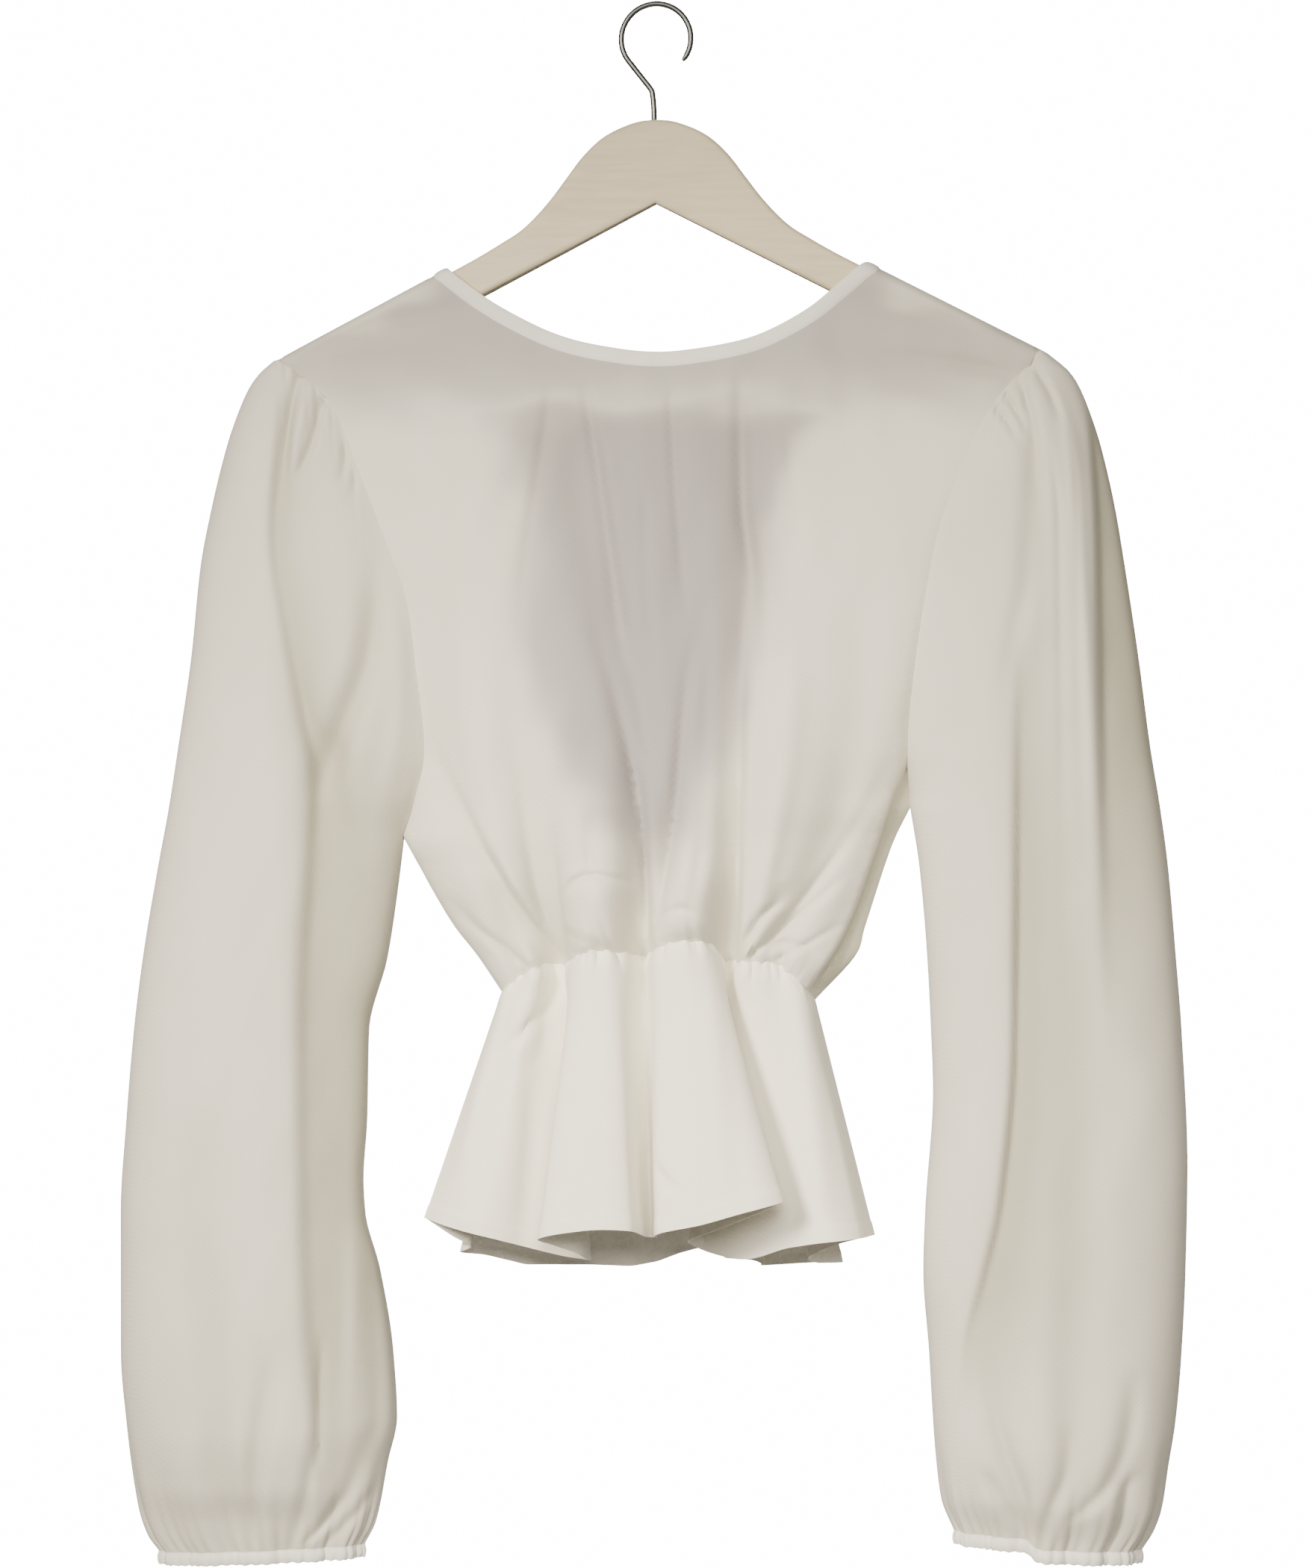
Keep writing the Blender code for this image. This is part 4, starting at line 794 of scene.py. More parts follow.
def weave_group():
    """Node group: the cloth's fine plain weave and slubs as a height, and its uneven whiteness as a mask."""
    group = bpy.data.node_groups.new("fine_plain_weave", "ShaderNodeTree")
    for name, usual in (("Threads per metre", 2400.0), ("Slub", 0.5)):
        group.interface.new_socket(name, in_out="INPUT", socket_type="NodeSocketFloat").default_value = usual
    for name in ("Height", "Unevenness"):
        group.interface.new_socket(name, in_out="OUTPUT", socket_type="NodeSocketFloat")
    given, out = group.nodes.new("NodeGroupInput"), group.nodes.new("NodeGroupOutput")
    pitch, slub = given.outputs["Threads per metre"], given.outputs["Slub"]
    where = add_node(group, "TexCoord").outputs["Object"]
    apart = add_node(group, "SeparateXYZ", {0: where})
    around = add_node(group, "Math", {0: apart.outputs["X"], 1: apart.outputs["Y"]}, operation="ADD")
    waves = {}
    for k, source in enumerate((around.outputs[0], apart.outputs["Z"])):
        scaled = add_node(group, "Math", {0: source, 1: pitch}, operation="MULTIPLY")
        waves[k] = add_node(group, "Math", {0: scaled.outputs[0]}, operation="SINE").outputs[0]
    crossed = add_node(group, "Math", waves, operation="MULTIPLY").outputs[0]
    slubs = add_node(group, "TexNoise", {"Vector": where, "Scale": 520.0, "Detail": 3.0}).outputs["Fac"]
    lumpy = add_node(group, "Math", {0: slubs, 1: slub, 2: crossed}, operation="MULTIPLY_ADD")
    cloud = add_node(group, "TexNoise", {"Vector": where, "Scale": 11.0, "Detail": 3.0}).outputs["Fac"]
    clear = add_node(group, "MapRange", {"Value": cloud, "From Min": 0.35, "From Max": 0.68})
    group.links.new(lumpy.outputs[0], out.inputs["Height"])
    group.links.new(clear.outputs[0], out.inputs["Unevenness"])
    return group


fine_weave = weave_group()


def cloth_material(name, light=CLOTH_LIGHT, dark=CLOTH_DARK, layer_shaded=False):
    """Off-white cloth: matt, with a slight sheen and its weave in relief, and painted shade down in its
    folds.

    With layer_shaded, the cloth also gets painted shade where it lies in one layer.
    """
    made, tree, shader = new_material(name, light, CLOTH_ROUGH)
    shader.inputs["Sheen Weight"].default_value = 0.18
    shader.inputs["Sheen Roughness"].default_value = 0.5
    shader.inputs["Specular IOR Level"].default_value = 0.3
    weave = add_node(tree, "Group", node_tree=fine_weave)
    colour = mix_colours(tree, weave.outputs["Unevenness"], light, dark)
    # Painted shade: darker down in the folds, and on the front also where it lies in one layer
    shade_tones = {"fold_shade": [value * part for value, part in zip(dark, FOLD_SHADE_TONE)]}
    if layer_shaded:
        shade_tones["single_layer_shade"] = SINGLE_LAYER_SHADE
    for stored, tone in shade_tones.items():
        share = add_node(tree, "Attribute", attribute_name=stored)
        colour = mix_colours(tree, share.outputs["Fac"], colour, tone)
    tree.links.new(colour, shader.inputs["Base Color"])
    add_relief(tree, shader, weave.outputs["Height"], 0.22, 0.00012)
    return made


def single_layer_shade(points):
    """Painted shade, from 0 to 1, where no back lies behind the front: under the neck edge and down the
    open back's long V.

    Over the arms of the hanger the painted shade is less, for the light board behind the cloth.
    """
    straight, down = across_and_drop(points)
    across = straight + soft_waves(straight, down, seed=21, height=5.0)
    drop = down + soft_waves(down, straight, seed=22, height=4.0)
    left, right, soft, strength = read(OPEN_BACK_SHADE, drop).T
    in_v = soft_step(across - left, soft) * soft_step(right - across, soft) * strength
    in_v = in_v * (1.0 - BAND_HIDES * np.exp(-((drop - BAND_DROP) / BAND_HALF) ** 4))
    aside = np.abs(across)
    board_edge = BOARD_SHOWS_TO + BOARD_SHOWS_SLOPE * (aside - BOARD_SHOWS_FROM)
    on_board = soft_step(aside - BOARD_SHOWS_FROM, BOARD_SHOWS_SOFT[0])
    on_board = on_board * soft_step(board_edge - drop, BOARD_SHOWS_SOFT[1])
    neck = read(NECK_SHADE, aside)[:, 0] * soft_step(NECK_SHADE_TO - drop, NECK_SHADE_SOFT)
    neck = neck * (1.0 - BOARD_LIGHTENS * on_board)
    return np.clip(np.maximum(in_v, neck), 0.0, 1.0)


def to_front(middles):
    """Outward on the front: towards the viewer."""
    return np.array((0.0, -1.0, 0.0))


def to_back(middles):
    """Outward on the back: away from the viewer."""
    return np.array((0.0, 1.0, 0.0))


front_waist = waist_seam(FRONT_WAIST, front_depth)
side_seams = {side: side_seam(side) for side in SIDES}
side_seams[-1][0], side_seams[1][0] = front_waist[0], front_waist[-1]
front_free, front_sewn = neck_edges(FRONT_NECK, NECK_BAND, NECK_STEPS, front_depth)
front_outline = np.vstack([
    front_waist, side_seams[1][1:], armhole_seam(1, -1)[1:], shoulder_seam(1)[1:-1],
    front_sewn[::-1], shoulder_seam(-1)[-2::-1], armhole_seam(-1, -1)[-2::-1],
    side_seams[-1][-2:0:-1]])
step_drops = np.linspace(STEP_FROM, STEP_TO, STEP_POINTS)
front_lines = roll_lines(-1) + roll_lines(1)
for beside in STEP_LINES:
    front_lines.append(np.stack([read(SIDE_OVERLAP, step_drops)[:, 0] + beside, step_drops], axis=1))
panel_points, panel_faces = fill_panel(front_outline, front_depth, front_lines)
front_piece = sew_piece("front_panel", panel_points, panel_faces, CLOTH, to_front, front_shade(panel_points))
front_cloth = cloth_material("front_cloth", layer_shaded=True)
# Painted shade where the front hangs in one layer, kept at each point for its colour
mesh_points = np.empty((len(front_piece.data.vertices), 3))
front_piece.data.vertices.foreach_get("co", mesh_points.reshape(-1))
store_share(front_piece.data, "single_layer_shade", single_layer_shade(mesh_points))
show(front_piece, "bodice_front", front_cloth)


# Bodice backs
# Two narrow back pieces that part below the neck band and meet again at the waist, with the long
# open back between them. Their free edges are turned under once and stitched.
KEYHOLE_STEPS = 130
KEYHOLE_TOP = 95.0
KEYHOLE_HEM = 5.0
KEYHOLE_STITCHED = slice(6, -10)
BACK_FOLD_LIMIT = 0.6
BACK_BAND = 8.0
BACK_NECK_STEPS = 170
FOOT_STEPS = 6
BACK_DEPTH = [(135, 9), (155, 10), (182, 13), (208, 17), (250, 24), (310, 31), (390, 35), (450, 32),
              (490, 25), (518, 22)]
# Neck edge and waist seam, from left to right: across, drop
BACK_NECK = [(-110, 135.5), (-110, 158), (-107, 181), (-93, 196), (-60, 199), (0, 200), (60, 199),
             (93, 196), (107, 181), (110, 158), (110, 135.5)]
BACK_WAIST = [(-81, 515), (-50, 504), (0, 500), (50, 504), (83, 518)]
# Edges of the open back: across, drop
KEYHOLE = {-1: [(-94, 228), (-79, 275), (-60, 346), (-36, 418), (-15, 476)],
           1: [(88, 228), (72, 275), (52, 346), (28, 418), (8, 476)]}
# Folds: drop, across, half width, depth
BACK_FOLDS = {
    "left_outer": [(330, -112, 16, 0), (430, -92, 12, 7), (500, -64, 6, 10)],
    "left_middle": [(300, -92, 16, 0), (420, -66, 11, 8), (500, -40, 6, 9)],
    "left_inner": [(380, -60, 12, 0), (450, -38, 9, 6), (500, -22, 5, 8)],
    "right_inner": [(370, 62, 12, 0), (450, 40, 9, 7), (500, 24, 5, 8)],
    "right_middle": [(300, 96, 16, 0), (420, 68, 11, 8), (500, 48, 6, 9)],
    "right_outer": [(340, 116, 16, 0), (430, 96, 12, 6), (503, 68, 6, 9)],
}
THREAD_WIDE = 0.42
THREAD_SUNK = 0.05
STITCH_LONG = 2.3
STITCH_APART = 3.1
STITCH_FROM = 1.0
THREAD_WHITE = (0.84, 0.83, 0.79)


def back_depth(across, drop):
    """Depth of the back at each point, folds and gathers included."""
    depth, crown, share = body_depth(across, drop, BACK_DEPTH)
    folds = np.minimum(fold_depth(BACK_FOLDS, drop, across), BACK_FOLD_LIMIT * depth)
    above = read(BACK_WAIST, across)[..., 0] - drop
    fine = soft_waves(across, drop, seed=5, height=0.5)
    fine = fine + fan(share, above, seed=23, depths=(0.8, 2.6), **GATHERS)
    fine = fine - bulge(above, WAIST_BULGE, WAIST_BULGE_REACH)
    return depth - folds - fine * crown * off_seams(depth, across, drop)


def add_stitches(name, line, lift):
    """A row of short raised stitches along a line, lifted off the cloth by the given vectors."""
    lengths = np.concatenate([[0.0], np.cumsum(np.linalg.norm(np.diff(line, axis=0), axis=1))]) / MM
    starts = np.arange(STITCH_FROM, lengths[-1] - STITCH_LONG, STITCH_APART)
    near, far, up = [np.stack([np.interp(at, lengths, track[:, k]) for k in range(3)], axis=1)
                     for at, track in ((starts, line), (starts + STITCH_LONG, line), (starts, lift))]
    up = unit(up)
    side = unit(np.cross(far - near, up))
    base = up * (CLOTH / 2 - THREAD_SUNK) * MM
    half = THREAD_WIDE / 2 * MM
    middle = (near + far) / 2 + base
    rows = [near + base, middle + side * half, middle + up * THREAD_WIDE * MM, middle - side * half,
            middle - up * half, far + base]
    verts = np.stack(rows, axis=1).reshape(-1, 3)
    turns = ((1, 2), (2, 3), (3, 4), (4, 1))
    shape = np.array([(0, a, b) for a, b in turns] + [(5, b, a) for a, b in turns])
    faces = (np.arange(len(near))[:, None, None] * 6 + shape[None]).reshape(-1, 3)
    mesh = bpy.data.meshes.new(name)
    mesh.from_pydata(verts.tolist(), [], faces.tolist())
    mesh.shade_smooth()
    mesh.materials.append(thread)
    made = bpy.data.objects.new(name, mesh)
    bpy.context.scene.collection.objects.link(made)
    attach(made, "root")
    return made


thread, tree, shader = new_material("white_sewing_thread", THREAD_WHITE, 0.55)
place_on = add_node(tree, "TexCoord").outputs["Object"]
twist = add_node(tree, "TexNoise", {"Vector": place_on, "Scale": 2600.0})
add_relief(tree, shader, twist.outputs["Fac"], 0.3, 0.0001)

back_waist = waist_seam(BACK_WAIST, back_depth)
back_waist[0], back_waist[-1] = front_waist[0], front_waist[-1]
back_free, back_sewn = neck_edges(BACK_NECK, BACK_BAND, BACK_NECK_STEPS, back_depth)
for side, side_name in SIDES.items():
    neck = back_sewn if side < 0 else back_sewn[::-1]
    waist = back_waist if side < 0 else back_waist[::-1]
    corner = int(np.argmax(np.abs(neck[:, 0]) < KEYHOLE_TOP * MM))
    foot = waist[WAIST_STEPS // 2 - FOOT_STEPS]
    line = [across_and_drop(neck[corner]), *KEYHOLE[side], across_and_drop(foot)]
    line = even_points(smooth_line(line), KEYHOLE_STEPS)
    opening = place(line[:, 0], back_depth(line[:, 0], line[:, 1]), line[:, 1])
    opening[0], opening[-1] = neck[corner], foot
    outline = np.vstack([waist[:WAIST_STEPS // 2 - FOOT_STEPS + 1], opening[-2:0:-1], neck[corner:0:-1],
                         shoulder_seam(side)[::-1], armhole_seam(side, 1)[-2::-1],
                         side_seams[side][-2:0:-1]])
    panel_points, panel_faces = fill_panel(outline, back_depth, roll_lines(side))
    name = "back_panel_" + side_name
    across, drop = across_and_drop(panel_points)
    # Painted shade down in the back's folds
    shade = fold_depth(BACK_FOLDS, drop, across) / (2 * FULL_SHADE)
    piece = sew_piece(name, panel_points, panel_faces, CLOTH, to_back, shade)
    show(piece, "bodice_back_" + side_name, cloth_material(name + "_cloth"))
    inset = line[KEYHOLE_STITCHED] + (side * KEYHOLE_HEM, 0.0)
    seam = place(inset[:, 0], back_depth(inset[:, 0], inset[:, 1]), inset[:, 1])
    add_stitches(name + "_stitches", seam, np.tile((0.0, 1.0, 0.0), (len(seam), 1)))


# Neck bindings
# A narrow double-folded strip of the same cloth, sewn round the neck edge and a little fuller than
# the bodice. At the back it runs down from both shoulders and straight across as a band.
BINDING = 1.1
BINDING_ROUND = 0.8
BINDING_COLUMNS = 8
# Where the binding's stitches run: share of its height, and points
BINDING_STITCHED = 0.14
BINDING_STITCHES = slice(8, -8)
BINDING_LIGHT = (0.83, 0.82, 0.775)
BINDING_DARK = (0.79, 0.78, 0.735)


def add_binding(name, node, free, sewn, outward):
    """A rounded strip between the free edge and the seam of a neck edge."""
    steps = min(len(free), len(sewn)) - 1
    free, sewn = even_points(free, steps), even_points(sewn, steps)
    out = unit(np.cross(sewn - free, np.gradient(free, axis=0)))
    if (out * outward(free)).sum() < 0:
        out = -out
    share = np.linspace(0, 1, BINDING_COLUMNS + 1)[None, :, None]
    full = np.clip(4 * share * (1 - share), 0, 1) ** 0.5
    points = free[:, None] * (1 - share) + sewn[:, None] * share + out[:, None] * full * BINDING_ROUND * MM
    faces = grid_faces(steps + 1, BINDING_COLUMNS + 1)
    piece = sew_piece(name, points.reshape(-1, 3), faces, BINDING, outward)
    show(piece, node, cloth_material(name + "_cloth", BINDING_LIGHT, BINDING_DARK))
    edge = sewn + (free - sewn) * BINDING_STITCHED
    add_stitches(name + "_stitches", edge[BINDING_STITCHES], out[BINDING_STITCHES])


add_binding("neck_binding_round_front", "neck_binding_front", front_free, front_sewn, to_front)
add_binding("neck_binding_round_back", "neck_binding_back", back_free, back_sewn, to_back)


# Peplum
# A short flounce, cut much wider than the waist in a front and a back piece, gathered into the
# elastic seam and falling in four deep flutes. Its hem is turned up narrowly and stitched.
PEPLUM_ROWS = 96
PEPLUM_FLARE = 0.85
HEM_POINTS = 40
HEM_DEEP = 8.0
# Folds of the peplum's front: drop, across, half width, depth
PEPLUM_FOLDS = {
    "pinch": [(504, -50, 2.6, 0), (516, -54, 3, 2.2), (526, -60, 3.6, 3.4), (536, -69, 4, 3),
              (546, -78, 5, 1.2), (556, -84, 6, 0)],
    "pinch_end": [(514, -60, 3, 0), (526, -58, 3.2, 2.6), (538, -58, 3.6, 2.4), (556, -61, 5, 0)],
    "pinch_swell": [(514, -66, 4, 0), (526, -71, 4.5, -1.8), (540, -74, 6, -1.6), (556, -76, 7, 0)],
    "lobe_shade": [(545, -64, 5, 0), (575, -64, 5, 2.2), (620, -66, 6, 2.6), (645, -68, 7, 1.6)],
    "lobe_swell": [(530, -92, 9, 0), (570, -94, 9, -1.8), (630, -96, 10, -1.4), (640, -96, 10, 0)],
    "valley_crumple": [(592, -1, 4, 0), (602, 5, 4.2, 1.8), (609, 12, 4.6, 1.4), (616, 18, 5, 0)],
    "long_soft": [(520, 92, 6, 0), (560, 96, 7, 1.8), (620, 99, 9, 1.4), (640, 100, 9, 0)],
    "lobe_three": [(510, 40, 5, 0), (545, 43, 6, 1.4), (600, 48, 7, 1.2), (630, 50, 7, 0)],
}
HEM_RAISED = 0.35
HEM_STEP = 0.8
PEPLUM_BULGE = 2.2
PEPLUM_BULGE_REACH = 7.0
PEPLUM_FULL_SHADE = 7.0
PEPLUM_WIDE = 230.0
# How far below the seam its gathers, then its billows, are full, and how short the billows are
GATHERS_FULL = 3.0
BILLOWS_FULL = 20.0
BILLOWS_SHORT = 0.8
SIDE_CALM = 6.0
# Folds die away where the peplum turns aside: a share of its facing, less a fixed part
FACING_GAIN = 1.6
FACING_LOSS = 0.5
# Part of the peplum over which the waist's ruffle dies away, and the points that even it out
RUFFLE_SHARE = 0.05
EVENED = 8
# The same cloth as the bodice, painted lighter all over: painted light on the peplum
PEPLUM_LIT_LIGHT = (0.90, 0.875, 0.79)
PEPLUM_LIT_DARK = (0.86, 0.835, 0.75)
# Hems, by the waist seam's points: seam point, across, depth, drop
FRONT_HEM = [(0, -122, -2, 634), (2, -108, -14, 637), (4, -88, -22, 641), (6, -64, -13, 648),
             (7, -48, -3, 653), (8, -35, 6, 656), (9, -37, -9, 652), (10, -50, -25, 645),
             (11, -56, -38, 641), (12, -45, -46, 637), (14, -20, -50, 634), (15, -8, -46, 635),
             (16, -5, -32, 638), (17, -4, -15, 641), (18, -1, -8, 642), (19, 3, -15, 641),
             (20, 4, -34, 639), (21, 7, -50, 636), (23, 31, -57, 630), (25, 55, -57, 623),
             (27, 71, -46, 619), (28, 48, -31, 630), (29, 26, -12, 640), (30, 17, 0, 645), (31, 24, 7, 650),
             (32, 44, -6, 653), (34, 72, -21, 645), (36, 93, -30, 641), (38, 107, -22, 640),
             (40, 114, -2, 640)]
BACK_HEM = [(0, -122, -2, 634), (1, -108, 2, 644), (2, -99, 8, 650), (3, -106, 17, 654), (4, -96, 26, 656),
            (6, -84, 36, 660), (8, -73, 43, 663), (11, -55, 45, 663), (14, -38, 38, 662),
            (17, -20, 34, 662), (20, -7, 44, 661), (22, 8, 49, 656), (24, 20, 48, 653), (25, 32, 47, 652),
            (26, 30, 40, 654), (27, 33, 34, 657), (29, 47, 34, 658), (30, 53, 40, 661), (31, 51, 46, 662),
            (33, 68, 47, 661), (35, 88, 38, 659), (36, 95, 30, 658), (37, 84, 26, 658), (38, 78, 17, 655),
            (39, 89, 8, 648), (40, 114, -2, 640)]


def add_peplum(name, node, waist, hem, folds, outward, seed):
    """A peplum piece that hangs from the waist seam to a waved hem."""
    place_in = np.linspace(0, HEM_POINTS, WAIST_STEPS + 1)
    bottom = read(hem, place_in)
    ends = place(bottom[:, 0], bottom[:, 1], bottom[:, 2])
    t = np.linspace(0, 1, PEPLUM_ROWS + 1)[:, None, None]
    evened = np.pad(waist, ((EVENED, EVENED), (0, 0)), mode="reflect", reflect_type="odd")
    window = np.hanning(2 * EVENED + 1) / EVENED
    evened = np.stack([np.convolve(evened[:, k], window, "valid") for k in range(3)], axis=1)
    ruffled = (waist - evened)[None] * np.exp(-(t / RUFFLE_SHARE) ** 2)
    points = evened[None] + (ends - evened)[None] * np.concatenate([t, t**PEPLUM_FLARE, t], axis=2) + ruffled
    out = unit(np.cross(np.gradient(points, axis=1), np.gradient(points, axis=0)))
    if (out * outward(points)).sum() < 0:
        out = -out
    length = np.linalg.norm(ends - waist, axis=1)[None] / MM
    below = t[:, :, 0] * length
    share = np.broadcast_to((place_in / HEM_POINTS)[None], below.shape)
    calm = np.clip(4 * share * (1 - share) * SIDE_CALM, 0, 1)
    push = fan(share, below, seed, count=46, depths=(0.2, 1.5), reaches=(2.5, 11.0))
    push = push * ramp(below, GATHERS_FULL)
    push = (push - bulge(below, PEPLUM_BULGE, PEPLUM_BULGE_REACH)) * calm
    facing = np.clip(FACING_GAIN * np.abs(out[..., 1]) - FACING_LOSS, 0, 1)
    across, drop = across_and_drop(points)
    push = push + fold_depth(folds, drop, across) * facing * calm
    raised = HEM_RAISED * ramp(below - (length - HEM_DEEP), HEM_STEP)
    wave = soft_waves(share * PEPLUM_WIDE, below * BILLOWS_SHORT, seed=seed + 1, height=0.35)
    wave = wave * ramp(below, BILLOWS_FULL) * calm
    points = points + out * ((raised - push + wave) * MM)[..., None]
    # Painted shade down in the peplum's folds and gathers
    shade = (push / PEPLUM_FULL_SHADE).reshape(-1)
    faces = grid_faces(PEPLUM_ROWS + 1, WAIST_STEPS + 1)
    piece = sew_piece(name, points.reshape(-1, 3), faces, CLOTH, outward, shade)
    show(piece, node, cloth_material(name + "_cloth", PEPLUM_LIT_LIGHT, PEPLUM_LIT_DARK))
    row = int(PEPLUM_ROWS * (1 - HEM_DEEP / length.mean()))
    add_stitches(name + "_hem_stitches", points[row], out[row])


add_peplum("peplum_front_flutes", "peplum_front", front_waist, FRONT_HEM, PEPLUM_FOLDS, to_front,
           seed=31)
add_peplum("peplum_back_flutes", "peplum_back", back_waist, BACK_HEM, {}, to_back, seed=41)


# Sleeves and cuffs
# Two long full sleeves, gathered into the top of the armhole and again into a narrow elastic cuff,
# which draws the cloth into small even pleats. The fullness between hangs in long soft folds.
# The same cloth as the bodice, painted darker all over: painted shade on the sleeves
SLEEVE_SHADED_LIGHT = (0.685, 0.655, 0.59)
SLEEVE_SHADED_DARK = (0.64, 0.61, 0.545)
SLEEVE_COLUMNS = 240
SLEEVE_ROWS = 96
CUFF_HEIGHT = 7.0
CUFF_ROWS = 9
CUFF_GATHERS = 12
CUFF_RIDGES = 60
CUFF_STEP = 196.0
CUFF_STEP_SHARE = 0.65
CUFF_STEP_SOFT = 2.5
CUFF_PLEATS = 44
CUFF_PLEAT_HALF = 0.27
CUFF_FULL_SHADE = 3.0
CUFF_ROUND = 0.55
CUFF_DRAWN = 0.5
CUFF_FINE = 0.22
CUFF_SCALLOP = 0.3
CUFF_GATHER = 2.4
CUFF_GATHER_FROM = 735.0
CUFF_TILT_FROM = 700.0
CUFF_TILT = {-1: 6.0, 1: 8.0}
CUFF_THICK = 1.3
SLEEVE_END = {-1: 812.0, 1: 800.0}
# How the sleeve opens towards the underarm, closes its rows up towards the cuff, and lies still
# beside the armhole seam
UNDERARM_TURN = math.radians(80)
UNDERARM_EASE = 0.8
ROWS_CLOSE_UP = 1.4
CALM_SHARE = 0.02
# Gathers of the sleeve's cap: lowest drop of their seam, distances from the middle with the soft
# ends, width and depth of a pleat, how it leans, and the shortest one
CAP_ENDS = 345.0
CAP_FROM = 148.0
CAP_TO = 204.0
CAP_SOFT = (10.0, 6.0)
CAP_PLEAT = 5.6
CAP_PLEAT_DEPTH = 0.8
CAP_LEAN = 0.12
CAP_REACH = 7.0
# Outer and inner edges of each sleeve, from its top down: drop, across
SLEEVE_OUTER = {
    -1: [(182, -201), (189, -210), (197, -216), (213, -223), (228, -228), (260, -236), (291, -242),
         (339, -247), (386, -254), (418, -259), (450, -265), (497, -273), (537, -278), (584, -282),
         (632, -285), (707, -285), (743, -282), (790, -275), (804, -270), (812, -264)],
    1: [(182, 201), (194, 215), (202, 220), (217, 226), (233, 231), (264, 238), (294, 243), (341, 250),
        (387, 256), (418, 261), (448, 265), (494, 269), (533, 272), (602, 275), (656, 274), (698, 272),
        (733, 269), (756, 265), (779, 261), (790, 257), (801, 250)],
}
SLEEVE_INNER = {
    -1: [(433, -134), (450, -136), (497, -143), (536, -153), (583, -154), (614, -156), (632, -155),
         (662, -147), (705, -140), (740, -138), (764, -143), (799, -150), (812, -156)],
    1: [(417, 133), (449, 138), (495, 142), (534, 144), (565, 145), (627, 141), (658, 140), (700, 143),
        (735, 145), (758, 147), (781, 150), (801, 157)],
}
# Half the sleeve's thickness: drop, half depth
SLEEVE_HALF_DEPTH = [(182, 9), (190, 11), (208, 20), (234, 27), (282, 32), (348, 35), (433, 34), (537, 36),
                     (664, 38), (743, 38), (775, 31), (795, 20), (812, 14)]
